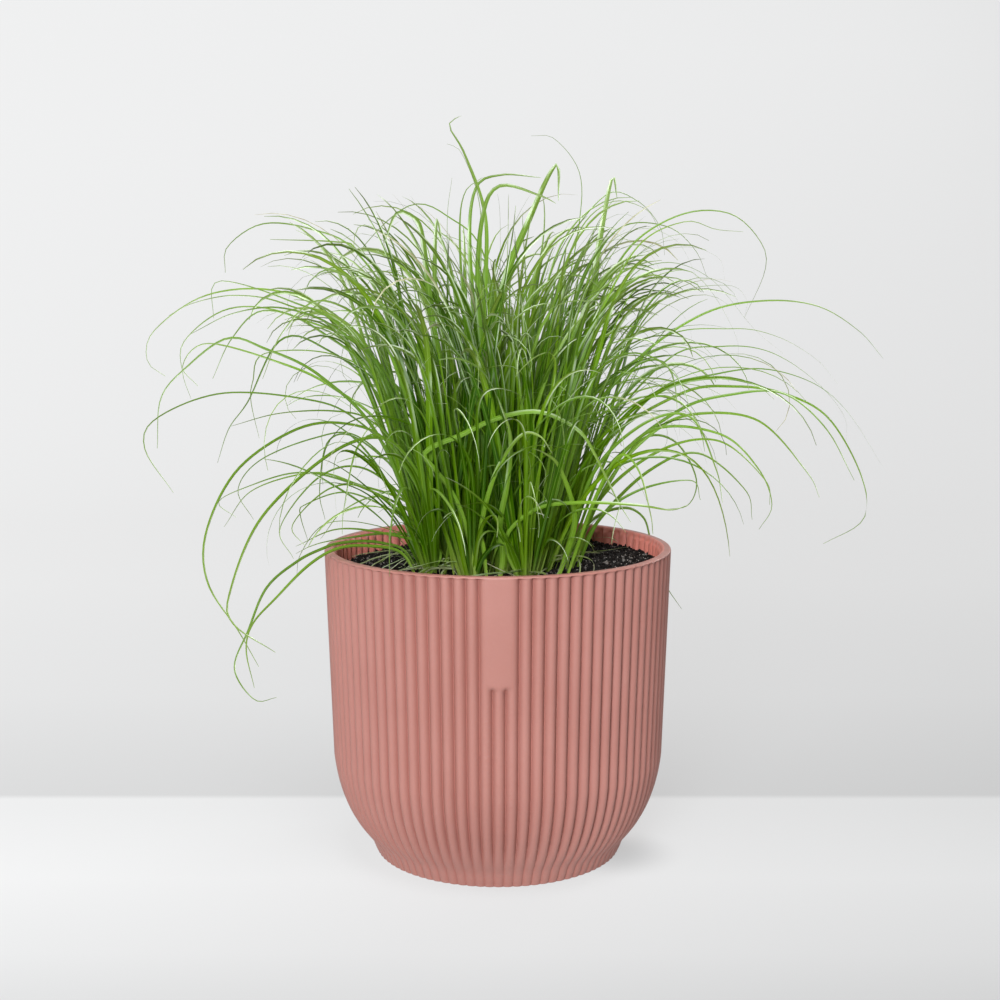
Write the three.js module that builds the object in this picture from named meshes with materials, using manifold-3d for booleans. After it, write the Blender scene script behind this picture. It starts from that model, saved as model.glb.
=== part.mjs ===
import * as THREE from 'three';
import { mergeVertices } from 'three/addons/utils/BufferGeometryUtils.js';
import Module from 'manifold-3d';

// A grass-like umbrella sedge standing in a fluted round pot filled with soil.
// Millimetres, +Z up. The origin is the middle of the pot's flat base, and -Y
// is the front, where the pot has its smooth panel.

// Pot
const RIM_RADIUS = 70;
const RIM_HEIGHT = 125.5;
const RIM_WIDTH = 3.6;
const WALL_FOOT_RADIUS = 67.2;
const WALL_FOOT_HEIGHT = 40.6;
const BELLY_CONTROL = [64.8, 19.2];
const WAIST = [52.8, 7];
const FOOT_RADIUS = 50.3;
const CAVITY_FLOOR = [50, 5];
const CAVITY_WALL_RADIUS = 63.9;
const FLUTES = 86;
const FLUTE_DEPTH = 0.9;
const FLUTE_FLAT = 0.3;
const FLUTE_TOP = 122.3;
const RIM_BAND_BOTTOM = 123.8;
const BELLY_SHARES = [0.36, 0.7];
const PANEL_FLUTES = 3;
const PANEL_BOTTOM = 83;
const PANEL_STEPS = 6;
const PANEL_INNER_SHARE = 0.97;

// Soil
const SOIL_HEIGHT = 116;
const SOIL_ROUGHNESS = 1.1;
const SOIL_GAP = 0.3;
const SOIL_SIDES = 32;
const SOIL_RINGS = [54, 42, 28];

// Crowns, one for each tuft of leaves
const TUFTS = 13;
const TUFT_SPACING = 8.2;
const GOLDEN_ANGLE = THREE.MathUtils.degToRad(137.508);
const CROWN_RADIUS = 5.2;
const CROWN_DEPTH = 7.7;
const CROWN_SHOULDER = 12;
const CROWN_SHOULDER_RADIUS = 3.9;
const CROWN_TOP = 34;
const CROWN_SIDES = 8;
const CROWN_STRAIGHT = 2.5;
const HOLE_CLEARANCE = 0.35;
const ROOT_HEIGHT = 2.2;
const ROOT_REACH = 3.1;

// Leaves that a rule places, tried in turn until the tuft has its number
const RULE_BLADES = 13;
const RULE_TRIES = 60;
const LEAF_KINDS = [
  {
    share: 0.6,
    lean: [0, 7],
    edgeLean: [4, 18],
    length: [112, 163],
    droop: [5, 70],
    power: [2, 4],
    width: [1.9, 3.1],
    steps: 5,
  },
  {
    share: 0.26,
    lean: [2, 12],
    edgeLean: [8, 24],
    length: [130, 190],
    droop: [80, 150],
    power: [1.6, 2.8],
    width: [1.4, 2.4],
    steps: 6,
  },
  {
    share: 0.14,
    lean: [8, 20],
    edgeLean: [6, 24],
    length: [50, 105],
    droop: [40, 110],
    power: [1.2, 2],
    width: [1.2, 1.9],
    steps: 5,
  },
];
const FORWARD_SHORTENING = 0.22;
const SIDEWAYS_SHORTENING = 0.06;
const MOST_DRIFT = 45;

// Leaf section and the room that leaves keep
const LEAST_THICKNESS = 0.7;
const THICKNESS_SHARE = 0.42;
const BLADE_CLEARANCE = 0.18;
const POT_CLEARANCE = 0.4;
const SWAY_STEP = 4;
const SWAY_TRIES = 40;
const TRACED_STEP = 21;
const TIP_DETAIL = 1.3;

// The eye from which the outer leaves were traced: in front of the pot and
// above it. A leaf that leans towards the eye is drawn in by the perspective.
const EYE_DISTANCE = 635;
const EYE_HEIGHT = 233;

// Traced leaves: where they leave the soil [x, y], how far back (+) or forward
// (-) the tip lies, the width, and points of the outline seen from the front.
const TRACED = [
  [[-12, 6], 38, 1.5, [[-39, 212], [-56, 243], [-74, 252], [-93, 254], [-107, 245], [-108, 235]]],
  [[-16, 0], 10, 1.9, [[-41, 220], [-56, 244], [-64, 247], [-90, 248]]],
  [[-20, -6], -20, 2.0, [[-39, 184], [-63, 214], [-83, 224], [-104, 231], [-113, 230], [-113, 217]]],
  [[-22, 4], 45, 1.7, [[-45, 192], [-67, 218], [-89, 228], [-116, 226], [-137, 212], [-140, 200],
    [-133, 194]]],
  [[-18, 10], 62, 1.5, [[-51, 204], [-83, 222], [-104, 226], [-121, 223], [-131, 218]]],
  [[-24, -4], -35, 2.2, [[-43, 188], [-63, 212], [-85, 221], [-105, 219], [-122, 211]]],
  [[-14, 14], 80, 1.3, [[-47, 196], [-79, 217], [-106, 221], [-125, 208], [-126, 195], [-123, 185]]],
  [[-24, 6], -8, 2.2, [[-45, 186], [-71, 212], [-93, 220], [-106, 209], [-114, 193]]],
  [[-16, -10], -48, 2.0, [[-39, 192], [-51, 214], [-71, 224], [-86, 211], [-94, 193]]],
  [[-26, -8], -30, 2.0, [[-47, 168], [-71, 194], [-93, 205], [-108, 209], [-125, 197], [-135, 185],
    [-137, 165]]],
  [[-26, 2], 30, 1.9, [[-43, 168], [-67, 190], [-89, 200], [-116, 207], [-126, 198], [-120, 190]]],
  [[-28, -2], -42, 2.0, [[-39, 156], [-59, 178], [-79, 185], [-111, 187], [-137, 177], [-142, 165],
    [-131, 147]]],
  [[-18, 16], 70, 1.3, [[-43, 184], [-64, 202], [-93, 203], [-98, 192], [-99, 184], [-96, 169]]],
  [[-26, -12], -60, 2.1, [[-39, 160], [-51, 176], [-66, 180], [-88, 179], [-107, 174]]],
  [[-20, 8], 20, 2.3, [[-47, 184], [-71, 206], [-87, 208], [-100, 184], [-108, 173], [-113, 159]]],
  [[-30, -8], -70, 2.6, [[-31, 144], [-45, 168], [-63, 175], [-82, 172], [-105, 156], [-118, 131],
    [-118, 110], [-106, 90], [-98, 75]]],
  [[-22, 18], 60, 1.2, [[-39, 152], [-57, 170], [-74, 169], [-96, 160], [-105, 148], [-99, 136]]],
  [[-30, -14], -96, 3.0, [[-27, 140], [-39, 164], [-52, 169], [-71, 160], [-96, 136], [-109, 106],
    [-108, 93], [-91, 81]]],
  [[-31, 2], 12, 2.3, [[-23, 127], [-33, 138], [-60, 151], [-81, 155], [-102, 149], [-113, 143],
    [-106, 137]]],
  [[-30, 8], 40, 2.1, [[-25, 129], [-37, 143], [-56, 150], [-74, 155], [-99, 148], [-111, 133]]],
  [[-31, 12], 52, 1.8, [[-23, 127], [-40, 138], [-61, 147], [-78, 142], [-80, 138], [-77, 127]]],
  [[-28, -16], -50, 1.6, [[-28, 127], [-50, 147], [-67, 149], [-83, 134], [-78, 125]]],
  [[-29, -10], -30, 1.7, [[-32, 136], [-52, 156], [-71, 154], [-88, 133], [-83, 120]]],
  [[-26, 20], 60, 1.3, [[-28, 131], [-46, 145], [-62, 140], [-72, 128]]],
  [[-27, -18], -64, 1.9, [[-29, 140], [-45, 168], [-56, 166], [-62, 141], [-63, 130]]],
  [[-24, 14], 34, 1.4, [[-31, 144], [-55, 168], [-68, 168], [-72, 148], [-70, 136]]],
  [[-30, -20], -40, 2.0, [[-24, 123], [-45, 130], [-65, 132], [-82, 125]]],
  [[-32, -16], -46, 2.1, [[-28, 124], [-46, 132], [-64, 133], [-85, 118], [-104, 88], [-108, 71],
    [-102, 61], [-91, 61]]],
  [[-31, -22], -60, 2.2, [[-26, 124], [-44, 131], [-64, 132], [-80, 117], [-100, 93], [-103, 82],
    [-100, 66]]],
  [[-29, 6], 30, 1.2, [[-28, 125], [-52, 134], [-70, 134], [-80, 122], [-82, 112]]],
  [[-6, -4], -10, 2.6, [[-4, 176], [-5, 224], [-5, 257], [-13, 281], [-19, 292], [-14, 296]]],
  [[-8, 8], 16, 1.4, [[-6, 184], [-7, 224], [-7, 260], [-14, 281], [-20, 285]]],
  [[2, -8], -24, 3.2, [[-3, 172], [1, 224], [13, 257], [23, 277], [24, 263]]],
  [[10, 2], 8, 2.7, [[25, 172], [35, 208], [40, 246], [45, 272], [47, 264]]],
  [[6, 8], 26, 1.5, [[17, 176], [25, 216], [32, 254], [32, 274], [22, 287], [13, 288]]],
  [[-2, 6], 20, 1.6, [[-6, 184], [-11, 240], [-9, 267], [1, 273], [17, 272]]],
  [[-10, 2], 6, 2.0, [[-15, 176], [-24, 224], [-25, 239], [-24, 256], [-22, 247]]],
  [[-6, 12], 24, 1.2, [[-13, 184], [-19, 224], [-20, 255], [-18, 272]]],
  [[-4, -10], -28, 2.0, [[-7, 172], [-13, 216], [-15, 250], [-13, 266], [-6, 272]]],
  [[-12, -6], -30, 2.4, [[-19, 172], [-26, 216], [-30, 250], [-34, 257], [-40, 258], [-45, 246]]],
  [[2, 14], 50, 1.5, [[1, 184], [-5, 240], [-20, 257], [-35, 261], [-54, 244], [-64, 224]]],
  [[-2, -12], -50, 2.0, [[-3, 172], [-8, 224], [-6, 257], [1, 269], [17, 265], [23, 262]]],
  [[-14, 10], 40, 1.8, [[-23, 184], [-35, 224], [-45, 246], [-43, 252], [-39, 255]]],
  [[14, 4], 20, 2.1, [[29, 184], [41, 224], [53, 246], [73, 258], [92, 258], [104, 247], [106, 236],
    [98, 217]]],
  [[12, -8], -30, 2.2, [[25, 184], [41, 220], [56, 246], [74, 255], [86, 252], [97, 251]]],
  [[18, -4], -24, 2.1, [[37, 176], [57, 202], [82, 219], [105, 224], [127, 222], [144, 212],
    [154, 201]]],
  [[8, 12], 40, 1.2, [[17, 192], [25, 240], [42, 265], [55, 263], [64, 253], [66, 242]]],
  [[10, 14], 56, 1.3, [[19, 192], [29, 244], [43, 262], [58, 260], [64, 251]]],
  [[14, 12], 64, 1.4, [[25, 192], [37, 236], [49, 253], [67, 253], [78, 244], [83, 233]]],
  [[16, 8], 44, 1.6, [[27, 192], [40, 240], [55, 252], [70, 248], [78, 235], [80, 227]]],
  [[12, -12], -52, 1.6, [[21, 188], [33, 236], [47, 248], [60, 243], [68, 227]]],
  [[18, 12], 72, 1.3, [[33, 188], [48, 236], [72, 245], [87, 241], [90, 232]]],
  [[18, 0], 4, 1.8, [[33, 184], [49, 228], [65, 239], [84, 233], [102, 213], [114, 203]]],
  [[20, -8], -44, 1.7, [[37, 180], [51, 224], [71, 236], [83, 230], [95, 210], [96, 198]]],
  [[22, 4], 24, 2.4, [[41, 176], [53, 212], [71, 227], [92, 230], [99, 224], [98, 218]]],
  [[24, -4], -20, 1.9, [[41, 172], [64, 208], [93, 213], [111, 210], [127, 201], [136, 191]]],
  [[24, 8], 36, 1.8, [[41, 168], [68, 201], [89, 206], [108, 204], [126, 193], [139, 178],
    [140, 165]]],
  [[26, 0], -30, 2.3, [[45, 164], [64, 188], [87, 195], [107, 197], [127, 191], [141, 179],
    [155, 158]]],
  [[26, 10], 50, 1.8, [[41, 164], [73, 187], [95, 190], [115, 187], [133, 177], [147, 153],
    [148, 136], [132, 126]]],
  [[28, -6], -52, 2.0, [[45, 156], [72, 180], [95, 187], [115, 187], [132, 173], [144, 152]]],
  [[28, 4], 8, 2.1, [[45, 152], [63, 172], [80, 179], [105, 176], [125, 155], [130, 145]]],
  [[28, 14], 56, 1.5, [[41, 144], [57, 168], [71, 168], [80, 153], [77, 142], [66, 140]]],
  [[10, -28], -70, 2.4, [[3, 127], [15, 140], [33, 143], [56, 142], [70, 140], [77, 142]]],
  [[26, -14], -72, 1.8, [[37, 152], [57, 174], [77, 178], [88, 157], [91, 143]]],
  [[26, -20], -60, 1.6, [[39, 144], [49, 162], [57, 156], [62, 138], [63, 130]]],
  [[28, -12], -66, 2.0, [[41, 148], [61, 172], [89, 171], [105, 157], [111, 142], [106, 132]]],
  [[30, 2], 20, 1.8, [[41, 144], [65, 164], [89, 168], [108, 152], [110, 142]]],
  [[30, 12], 44, 1.8, [[41, 136], [61, 156], [81, 163], [100, 148], [103, 136]]],
  [[30, -8], -36, 1.7, [[41, 136], [57, 148], [78, 152], [82, 144]]],
  [[24, 22], 78, 1.6, [[38, 130], [58, 137], [72, 122], [79, 112], [82, 100]]],
  [[26, -14], -52, 2.4, [[36, 124], [53, 137], [42, 153], [30, 172], [16, 178], [-10, 170], [-30, 160]]],
  [[22, -24], -62, 3.2, [[28, 123], [31, 138], [25, 157], [19, 163], [14, 165]]],
  [[-4, -28], -58, 2.2, [[-6, 124], [-7, 133], [-1, 155], [9, 170], [17, 170], [22, 163]]],
  [[0, -28], -50, 3.0, [[2, 121], [1, 135], [4, 152], [5, 170], [0, 186]]],
];

// Materials
const POT_COLOR = 0xc8948a;
const SOIL_COLOR = 0x261e17;
const LEAF_COLORS = [0x5f8a33, 0x6f9a3c, 0x4f7a2e];

const wasm = await Module();
wasm.setup();

// A closed geometry as a solid that can be joined and cut.
function solidOf(geometry) {
  geometry.deleteAttribute('normal');
  geometry.deleteAttribute('uv');
  const merged = mergeVertices(geometry, 1e-4);
  const index = merged.index.array;
  const triVerts = [];
  for (let i = 0; i < index.length; i += 3) {
    const [a, b, c] = [index[i], index[i + 1], index[i + 2]];
    if (a !== b && b !== c && c !== a) triVerts.push(a, b, c);
  }
  return new wasm.Manifold(new wasm.Mesh({
    numProp: 3,
    vertProperties: new Float32Array(merged.attributes.position.array),
    triVerts: new Uint32Array(triVerts),
  }));
}

function geometryOf(solid) {
  const { vertProperties, triVerts } = solid.getMesh();
  const geometry = new THREE.BufferGeometry();
  geometry.setAttribute('position', new THREE.BufferAttribute(new Float32Array(vertProperties), 3));
  geometry.setIndex(new THREE.BufferAttribute(new Uint32Array(triVerts), 1));
  return geometry;
}

// Points closer than a thousandth are one, and of what is then left the largest
// body counts: a small hollow that joined leaves shut in between them is filled.
function tidied(solid) {
  const bodies = solidOf(mergeVertices(geometryOf(solid), 1e-3)).decompose();
  return bodies.reduce((best, body) => (body.volume() > best.volume() ? body : best));
}

function meshOf(name, solid, material) {
  const geometry = geometryOf(tidied(tidied(solid)));
  geometry.computeVertexNormals();
  const mesh = new THREE.Mesh(geometry, material);
  mesh.name = name;
  return mesh;
}

// A turned solid: the profile holds [radius, height] pairs from axis to axis.
function turned(profile, sides) {
  const points = profile.map(([r, z]) => new THREE.Vector2(r, z));
  const geometry = new THREE.LatheGeometry(points, sides);
  geometry.rotateX(Math.PI / 2);
  return geometry;
}

// Repeatable random numbers from a seed.
function randomFrom(seed) {
  let state = (seed * 7919 + 104729) % 2147483647;
  const draw = (low = 0, high = 1) => {
    state = (state * 16807) % 2147483647;
    return low + (high - low) * (state / 2147483647);
  };
  for (let i = 0; i < 3; i += 1) draw();
  return draw;
}

// Pot: a straight wall that turns in through a round belly to a narrow foot.
function bellyPoint(t) {
  const curve = new THREE.QuadraticBezierCurve(
    new THREE.Vector2(...WAIST),
    new THREE.Vector2(...BELLY_CONTROL),
    new THREE.Vector2(WALL_FOOT_RADIUS, WALL_FOOT_HEIGHT),
  );
  return curve.getPoint(t).toArray();
}

function wallRadius(z) {
  const share = (z - WALL_FOOT_HEIGHT) / (RIM_HEIGHT - WALL_FOOT_HEIGHT);
  return THREE.MathUtils.lerp(WALL_FOOT_RADIUS, RIM_RADIUS, share);
}

// Each flute has three columns of points: two shoulders and a groove.
function fluteColumn(column) {
  const pitch = 2 * Math.PI / FLUTES;
  const flute = Math.floor(column / 3) % FLUTES;
  const place = [-FLUTE_FLAT, FLUTE_FLAT, 0.5][column % 3];
  return { angle: (flute + place) * pitch, groove: column % 3 === 2 };
}

function flutedBody() {
  const profile = [
    [0, 0],
    [FOOT_RADIUS, 0],
    WAIST,
    ...BELLY_SHARES.map(bellyPoint),
    [WALL_FOOT_RADIUS, WALL_FOOT_HEIGHT],
    [wallRadius(FLUTE_TOP), FLUTE_TOP],
    [wallRadius(RIM_BAND_BOTTOM), RIM_BAND_BOTTOM],
    [RIM_RADIUS, RIM_HEIGHT],
    [0, RIM_HEIGHT],
  ];
  const geometry = turned(profile, 3 * FLUTES);
  const position = geometry.attributes.position;
  for (let i = 0; i < position.count; i += 1) {
    const [radius, z] = profile[i % profile.length];
    const { angle, groove } = fluteColumn(Math.floor(i / profile.length));
    const cut = groove && radius > 0 && z < RIM_BAND_BOTTOM ? FLUTE_DEPTH : 0;
    position.setXYZ(i, (radius - cut) * Math.sin(angle), -(radius - cut) * Math.cos(angle), z);
  }
  return solidOf(geometry);
}

// The smooth panel fills the grooves of the middle flutes at the front.
function frontPanel() {
  const half = (PANEL_FLUTES - 2 * (0.5 - FLUTE_FLAT)) * Math.PI / FLUTES;
  const shape = new THREE.Shape();
  for (let i = 0; i <= PANEL_STEPS; i += 1) {
    const angle = THREE.MathUtils.lerp(-half, half, i / PANEL_STEPS);
    const point = [Math.sin(angle), -Math.cos(angle)];
    if (i === 0) shape.moveTo(...point);
    else shape.lineTo(...point);
  }
  const inner = [PANEL_INNER_SHARE * Math.sin(half), -PANEL_INNER_SHARE * Math.cos(half)];
  shape.lineTo(...inner);
  shape.lineTo(-inner[0], inner[1]);
  const height = RIM_BAND_BOTTOM - PANEL_BOTTOM;
  const geometry = new THREE.ExtrudeGeometry(shape, { depth: height, bevelEnabled: false });
  const position = geometry.attributes.position;
  for (let i = 0; i < position.count; i += 1) {
    const z = PANEL_BOTTOM + position.getZ(i);
    const radius = wallRadius(z);
    position.setXYZ(i, radius * position.getX(i), radius * position.getY(i), z);
  }
  return solidOf(geometry);
}

function potSolid() {
  const cavity = solidOf(turned([
    [0, CAVITY_FLOOR[1]],
    CAVITY_FLOOR,
    [CAVITY_WALL_RADIUS, WALL_FOOT_HEIGHT],
    [RIM_RADIUS - RIM_WIDTH, RIM_HEIGHT],
    [RIM_RADIUS - RIM_WIDTH, RIM_HEIGHT + 2],
    [0, RIM_HEIGHT + 2],
  ], FLUTES));
  return flutedBody().add(frontPanel()).subtract(cavity);
}

// Tufts stand in a spiral, each a golden angle on from the last.
function tuftCentre(k) {
  const radius = TUFT_SPACING * Math.sqrt(k + 0.4);
  const angle = k * GOLDEN_ANGLE;
  return new THREE.Vector2(radius * Math.cos(angle), radius * Math.sin(angle));
}

const tuftCentres = Array.from({ length: TUFTS }, (_, k) => tuftCentre(k));

// Soil: fills the pot, uneven on top, with a plain hole for each crown.
function soilSolid() {
  const cavityRadius = (z) => {
    const share = (z - WALL_FOOT_HEIGHT) / (RIM_HEIGHT - WALL_FOOT_HEIGHT);
    return THREE.MathUtils.lerp(CAVITY_WALL_RADIUS, RIM_RADIUS - RIM_WIDTH, share);
  };
  const profile = [
    [0, CAVITY_FLOOR[1] + SOIL_GAP],
    [CAVITY_FLOOR[0] - SOIL_GAP, CAVITY_FLOOR[1] + SOIL_GAP],
    [CAVITY_WALL_RADIUS - SOIL_GAP, WALL_FOOT_HEIGHT],
    [cavityRadius(SOIL_HEIGHT) - SOIL_GAP - 0.1, SOIL_HEIGHT],
    ...SOIL_RINGS.map((radius) => [radius, SOIL_HEIGHT]),
    [0, SOIL_HEIGHT],
  ];
  const geometry = turned(profile, SOIL_SIDES);
  const position = geometry.attributes.position;
  const heights = new Map();
  const draw = randomFrom(5);
  for (let i = 0; i < position.count; i += 1) {
    const [radius, z] = profile[i % profile.length];
    if (z !== SOIL_HEIGHT || radius === 0) continue;
    const key = `${i % profile.length} ${Math.floor(i / profile.length) % SOIL_SIDES}`;
    if (!heights.has(key)) heights.set(key, draw(-SOIL_ROUGHNESS, SOIL_ROUGHNESS));
    const calm = radius > SOIL_RINGS[1] ? 1 : 0.5;
    position.setZ(i, z + heights.get(key) * calm);
  }
  let soil = solidOf(geometry);
  const bottom = SOIL_HEIGHT - CROWN_DEPTH - SOIL_GAP;
  const height = RIM_HEIGHT - bottom;
  const radius = CROWN_RADIUS + HOLE_CLEARANCE;
  for (const centre of tuftCentres) {
    const hole = new THREE.CylinderGeometry(radius, radius, height, CROWN_SIDES);
    hole.rotateX(Math.PI / 2);
    hole.translate(centre.x, centre.y, bottom + height / 2);
    soil = soil.subtract(solidOf(hole));
  }
  return soil;
}

// Crown: a plug in the soil that narrows upwards among the leaf sheaths.
function crownSolid(centre) {
  const profile = [
    [0, -CROWN_DEPTH],
    [CROWN_RADIUS, -CROWN_DEPTH],
    [CROWN_RADIUS, CROWN_STRAIGHT],
    [CROWN_SHOULDER_RADIUS, CROWN_SHOULDER],
    [0, CROWN_TOP],
  ];
  const geometry = turned(profile, CROWN_SIDES);
  geometry.translate(centre.x, centre.y, SOIL_HEIGHT);
  return solidOf(geometry);
}

// A path that starts at a lean and bends over more and more towards its tip.
function archPath(root, azimuth, lean, length, droop, power, drift, steps) {
  const path = [root];
  const step = length / steps;
  let point = root;
  for (let i = 0; i < steps; i += 1) {
    const s = (i + 0.5) / steps;
    const tilt = lean + droop * s ** power;
    const heading = azimuth + drift * s * s;
    point = point.clone().add(new THREE.Vector3(
      step * Math.sin(tilt) * Math.cos(heading),
      step * Math.sin(tilt) * Math.sin(heading),
      step * Math.cos(tilt),
    ));
    path.push(point);
  }
  return path;
}

// One leaf by rule: upright, arching or short and low, from tuft k. The outer
// tufts lean outwards, and leaves that come forward are kept short.
function ruleBlade(k, seed) {
  const draw = randomFrom(seed);
  const centre = tuftCentres[k];
  const edge = centre.length() / 29;
  const outward = Math.atan2(centre.y, centre.x);
  const spread = THREE.MathUtils.lerp(Math.PI, 1.3, Math.min(1, edge * 1.2));
  const azimuth = outward + draw(-1, 1) * spread;
  const reach = ROOT_REACH * Math.sqrt(draw(0.05, 1));
  let pick = draw();
  const kind = LEAF_KINDS.find(({ share }) => {
    pick -= share;
    return pick < 0;
  }) ?? LEAF_KINDS[0];
  const lean = draw(...kind.lean) + edge * draw(...kind.edgeLean);
  const length = draw(...kind.length);
  const droop = draw(...kind.droop);
  const power = draw(...kind.power);
  const width = draw(...kind.width);
  const forward = Math.max(0, -Math.sin(azimuth) - 0.5) / 0.5;
  const sideways = Math.abs(Math.cos(azimuth));
  const drift = THREE.MathUtils.degToRad(draw(-MOST_DRIFT, MOST_DRIFT));
  const root = new THREE.Vector3(
    centre.x + reach * Math.cos(azimuth),
    centre.y + reach * Math.sin(azimuth),
    SOIL_HEIGHT + ROOT_HEIGHT,
  );
  const path = archPath(
    root,
    azimuth,
    THREE.MathUtils.degToRad(lean),
    length * (1 - FORWARD_SHORTENING * forward) * (1 - SIDEWAYS_SHORTENING * sideways),
    THREE.MathUtils.degToRad(droop),
    power,
    drift,
    kind.steps,
  );
  const across = new THREE.Vector3(-Math.sin(azimuth), Math.cos(azimuth), 0);
  return { path, width, across, roll: draw(-0.6, 0.6) };
}

function nearestTuft(x, y) {
  const place = new THREE.Vector2(x, y);
  let best = 0;
  tuftCentres.forEach((centre, k) => {
    if (centre.distanceTo(place) < tuftCentres[best].distanceTo(place)) best = k;
  });
  return best;
}

// One traced leaf. Its depth grows along the leaf to the tip's, and each point
// moves along the line to the eye, so that the outline from there stays.
function tracedBlade([root, tipDepth, width, outline], sway) {
  const k = nearestTuft(...root);
  const offset = new THREE.Vector2(...root).sub(tuftCentres[k]).clampLength(0, ROOT_REACH);
  const start = tuftCentres[k].clone().add(offset);
  const front = [[start.x, SOIL_HEIGHT + ROOT_HEIGHT], ...outline];
  const lengths = [0];
  for (let i = 1; i < front.length; i += 1) {
    const run = Math.hypot(front[i][0] - front[i - 1][0], front[i][1] - front[i - 1][1]);
    lengths.push(lengths[i - 1] + run);
  }
  const total = lengths[lengths.length - 1];
  const points = front.map(([x, z], i) => {
    const depth = start.y + (tipDepth + sway - start.y) * (lengths[i] / total) ** 1.3;
    if (i === 0) return new THREE.Vector3(start.x, start.y, z);
    const scale = (EYE_DISTANCE + depth) / EYE_DISTANCE;
    return new THREE.Vector3(x * scale, depth, EYE_HEIGHT + (z - EYE_HEIGHT) * scale);
  });
  const curve = new THREE.CatmullRomCurve3(points, false, 'catmullrom', 0.5);
  const steps = THREE.MathUtils.clamp(Math.round(total / TRACED_STEP), 5, 9);
  const shares = Array.from({ length: steps + 1 }, (_, i) => 1 - (1 - i / steps) ** TIP_DETAIL);
  return {
    tuft: k,
    path: shares.map((share) => curve.getPointAt(share)),
    width: Math.max(width * 1.15, 1.3),
    across: new THREE.Vector3(0, 1, 0),
    roll: 0.8,
  };
}

// Leaf width along its length: full in the middle, slim at the root, pointed.
function widthAt(width, s) {
  return width * Math.min(0.75 + 1.2 * s, 1) * (1 - 0.62 * Math.max(0, s - 0.25) ** 1.5);
}

// Two leaves are clear of each other where their round hulls are. Leaves of one
// tuft may touch where they leave their crown.
function hullOf(blade, tuft) {
  const parts = [];
  const steps = blade.path.length - 1;
  for (let i = 0; i < steps; i += 1) {
    parts.push({
      line: new THREE.Line3(blade.path[i], blade.path[i + 1]),
      radius: 0.5 * widthAt(blade.width, i / steps),
      root: blade.path[i].z < SOIL_HEIGHT + 12,
    });
  }
  const box = new THREE.Box3().setFromPoints(blade.path).expandByScalar(2);
  return { tuft, parts, box };
}

function hullsClear(a, b) {
  if (!a.box.intersectsBox(b.box)) return true;
  for (const p of a.parts) {
    for (const q of b.parts) {
      if (a.tuft === b.tuft && (p.root || q.root)) continue;
      const limit = p.radius + q.radius + BLADE_CLEARANCE;
      if (p.line.distanceSqToLine3(q.line) < limit * limit) return false;
    }
  }
  return true;
}

function crownHull(k) {
  const centre = tuftCentres[k];
  const at = (z) => new THREE.Vector3(centre.x, centre.y, SOIL_HEIGHT + z);
  const levels = [[0, 3, CROWN_RADIUS], [3, CROWN_SHOULDER, 4.6], [CROWN_SHOULDER, 20, 3.6],
    [20, 27, 2.4], [27, CROWN_TOP, 1.2]];
  const parts = levels.map(([low, high, radius]) => (
    { line: new THREE.Line3(at(low), at(high)), radius, root: true }));
  const points = [at(0), at(CROWN_TOP)];
  return { tuft: k, parts, box: new THREE.Box3().setFromPoints(points).expandByScalar(6) };
}

// Clear of the pot's wall and rim, and of the soil outside the leaf's own hole.
function clearOfPot(blade, tuft) {
  const half = 0.5 * blade.width + POT_CLEARANCE;
  const centre = tuftCentres[tuft];
  const point = new THREE.Vector3();
  for (let i = 1; i < blade.path.length; i += 1) {
    for (let j = 1; j <= 8; j += 1) {
      point.lerpVectors(blade.path[i - 1], blade.path[i], j / 8);
      const radius = Math.hypot(point.x, point.y);
      const inWall = radius > RIM_RADIUS - RIM_WIDTH - half && radius < RIM_RADIUS + half;
      if (inWall && point.z < RIM_HEIGHT + half) return false;
      const outOfCrown = Math.hypot(point.x - centre.x, point.y - centre.y) > CROWN_RADIUS - half;
      const low = point.z < SOIL_HEIGHT + SOIL_ROUGHNESS + half;
      if (radius < RIM_RADIUS && outOfCrown && low) return false;
    }
  }
  return true;
}

// Three-sided section along the path: two edges and a keel, ending in a point.
function bladeSolid({ path, width, across, roll }) {
  const steps = path.length - 1;
  const vertices = [];
  for (let i = 0; i < steps; i += 1) {
    const before = path[Math.max(i - 1, 0)];
    const tangent = path[i + 1].clone().sub(before).normalize();
    const side = across.clone().addScaledVector(tangent, -across.dot(tangent)).normalize();
    side.applyAxisAngle(tangent, roll);
    const keel = new THREE.Vector3().crossVectors(tangent, side);
    const w = widthAt(width, i / steps);
    const thick = Math.max(LEAST_THICKNESS, THICKNESS_SHARE * w);
    const corners = [[w / 2, thick / 3], [-w / 2, thick / 3], [0, -2 * thick / 3]];
    for (const [a, b] of corners) {
      vertices.push(path[i].clone().addScaledVector(side, a).addScaledVector(keel, b));
    }
  }
  vertices.push(path[steps]);
  const triangles = [0, 2, 1];
  for (let i = 0; i < steps - 1; i += 1) {
    for (let c = 0; c < 3; c += 1) {
      const a = 3 * i + c;
      const b = 3 * i + (c + 1) % 3;
      triangles.push(a, b, a + 3, b, b + 3, a + 3);
    }
  }
  const last = 3 * (steps - 1);
  const tip = 3 * steps;
  for (let c = 0; c < 3; c += 1) triangles.push(last + c, last + (c + 1) % 3, tip);
  const geometry = new THREE.BufferGeometry().setFromPoints(vertices);
  geometry.setIndex(triangles);
  return solidOf(geometry);
}

// Leaves are placed one by one, and each keeps clear of those already there. A
// traced leaf bends a little nearer or farther until it is clear.
const hulls = tuftCentres.map((_, k) => crownHull(k));
const blades = tuftCentres.map(() => []);

function place(blade, tuft) {
  if (!clearOfPot(blade, tuft)) return false;
  const hull = hullOf(blade, tuft);
  if (!hulls.every((other) => hullsClear(hull, other))) return false;
  hulls.push(hull);
  blades[tuft].push(blade);
  return true;
}

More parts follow.
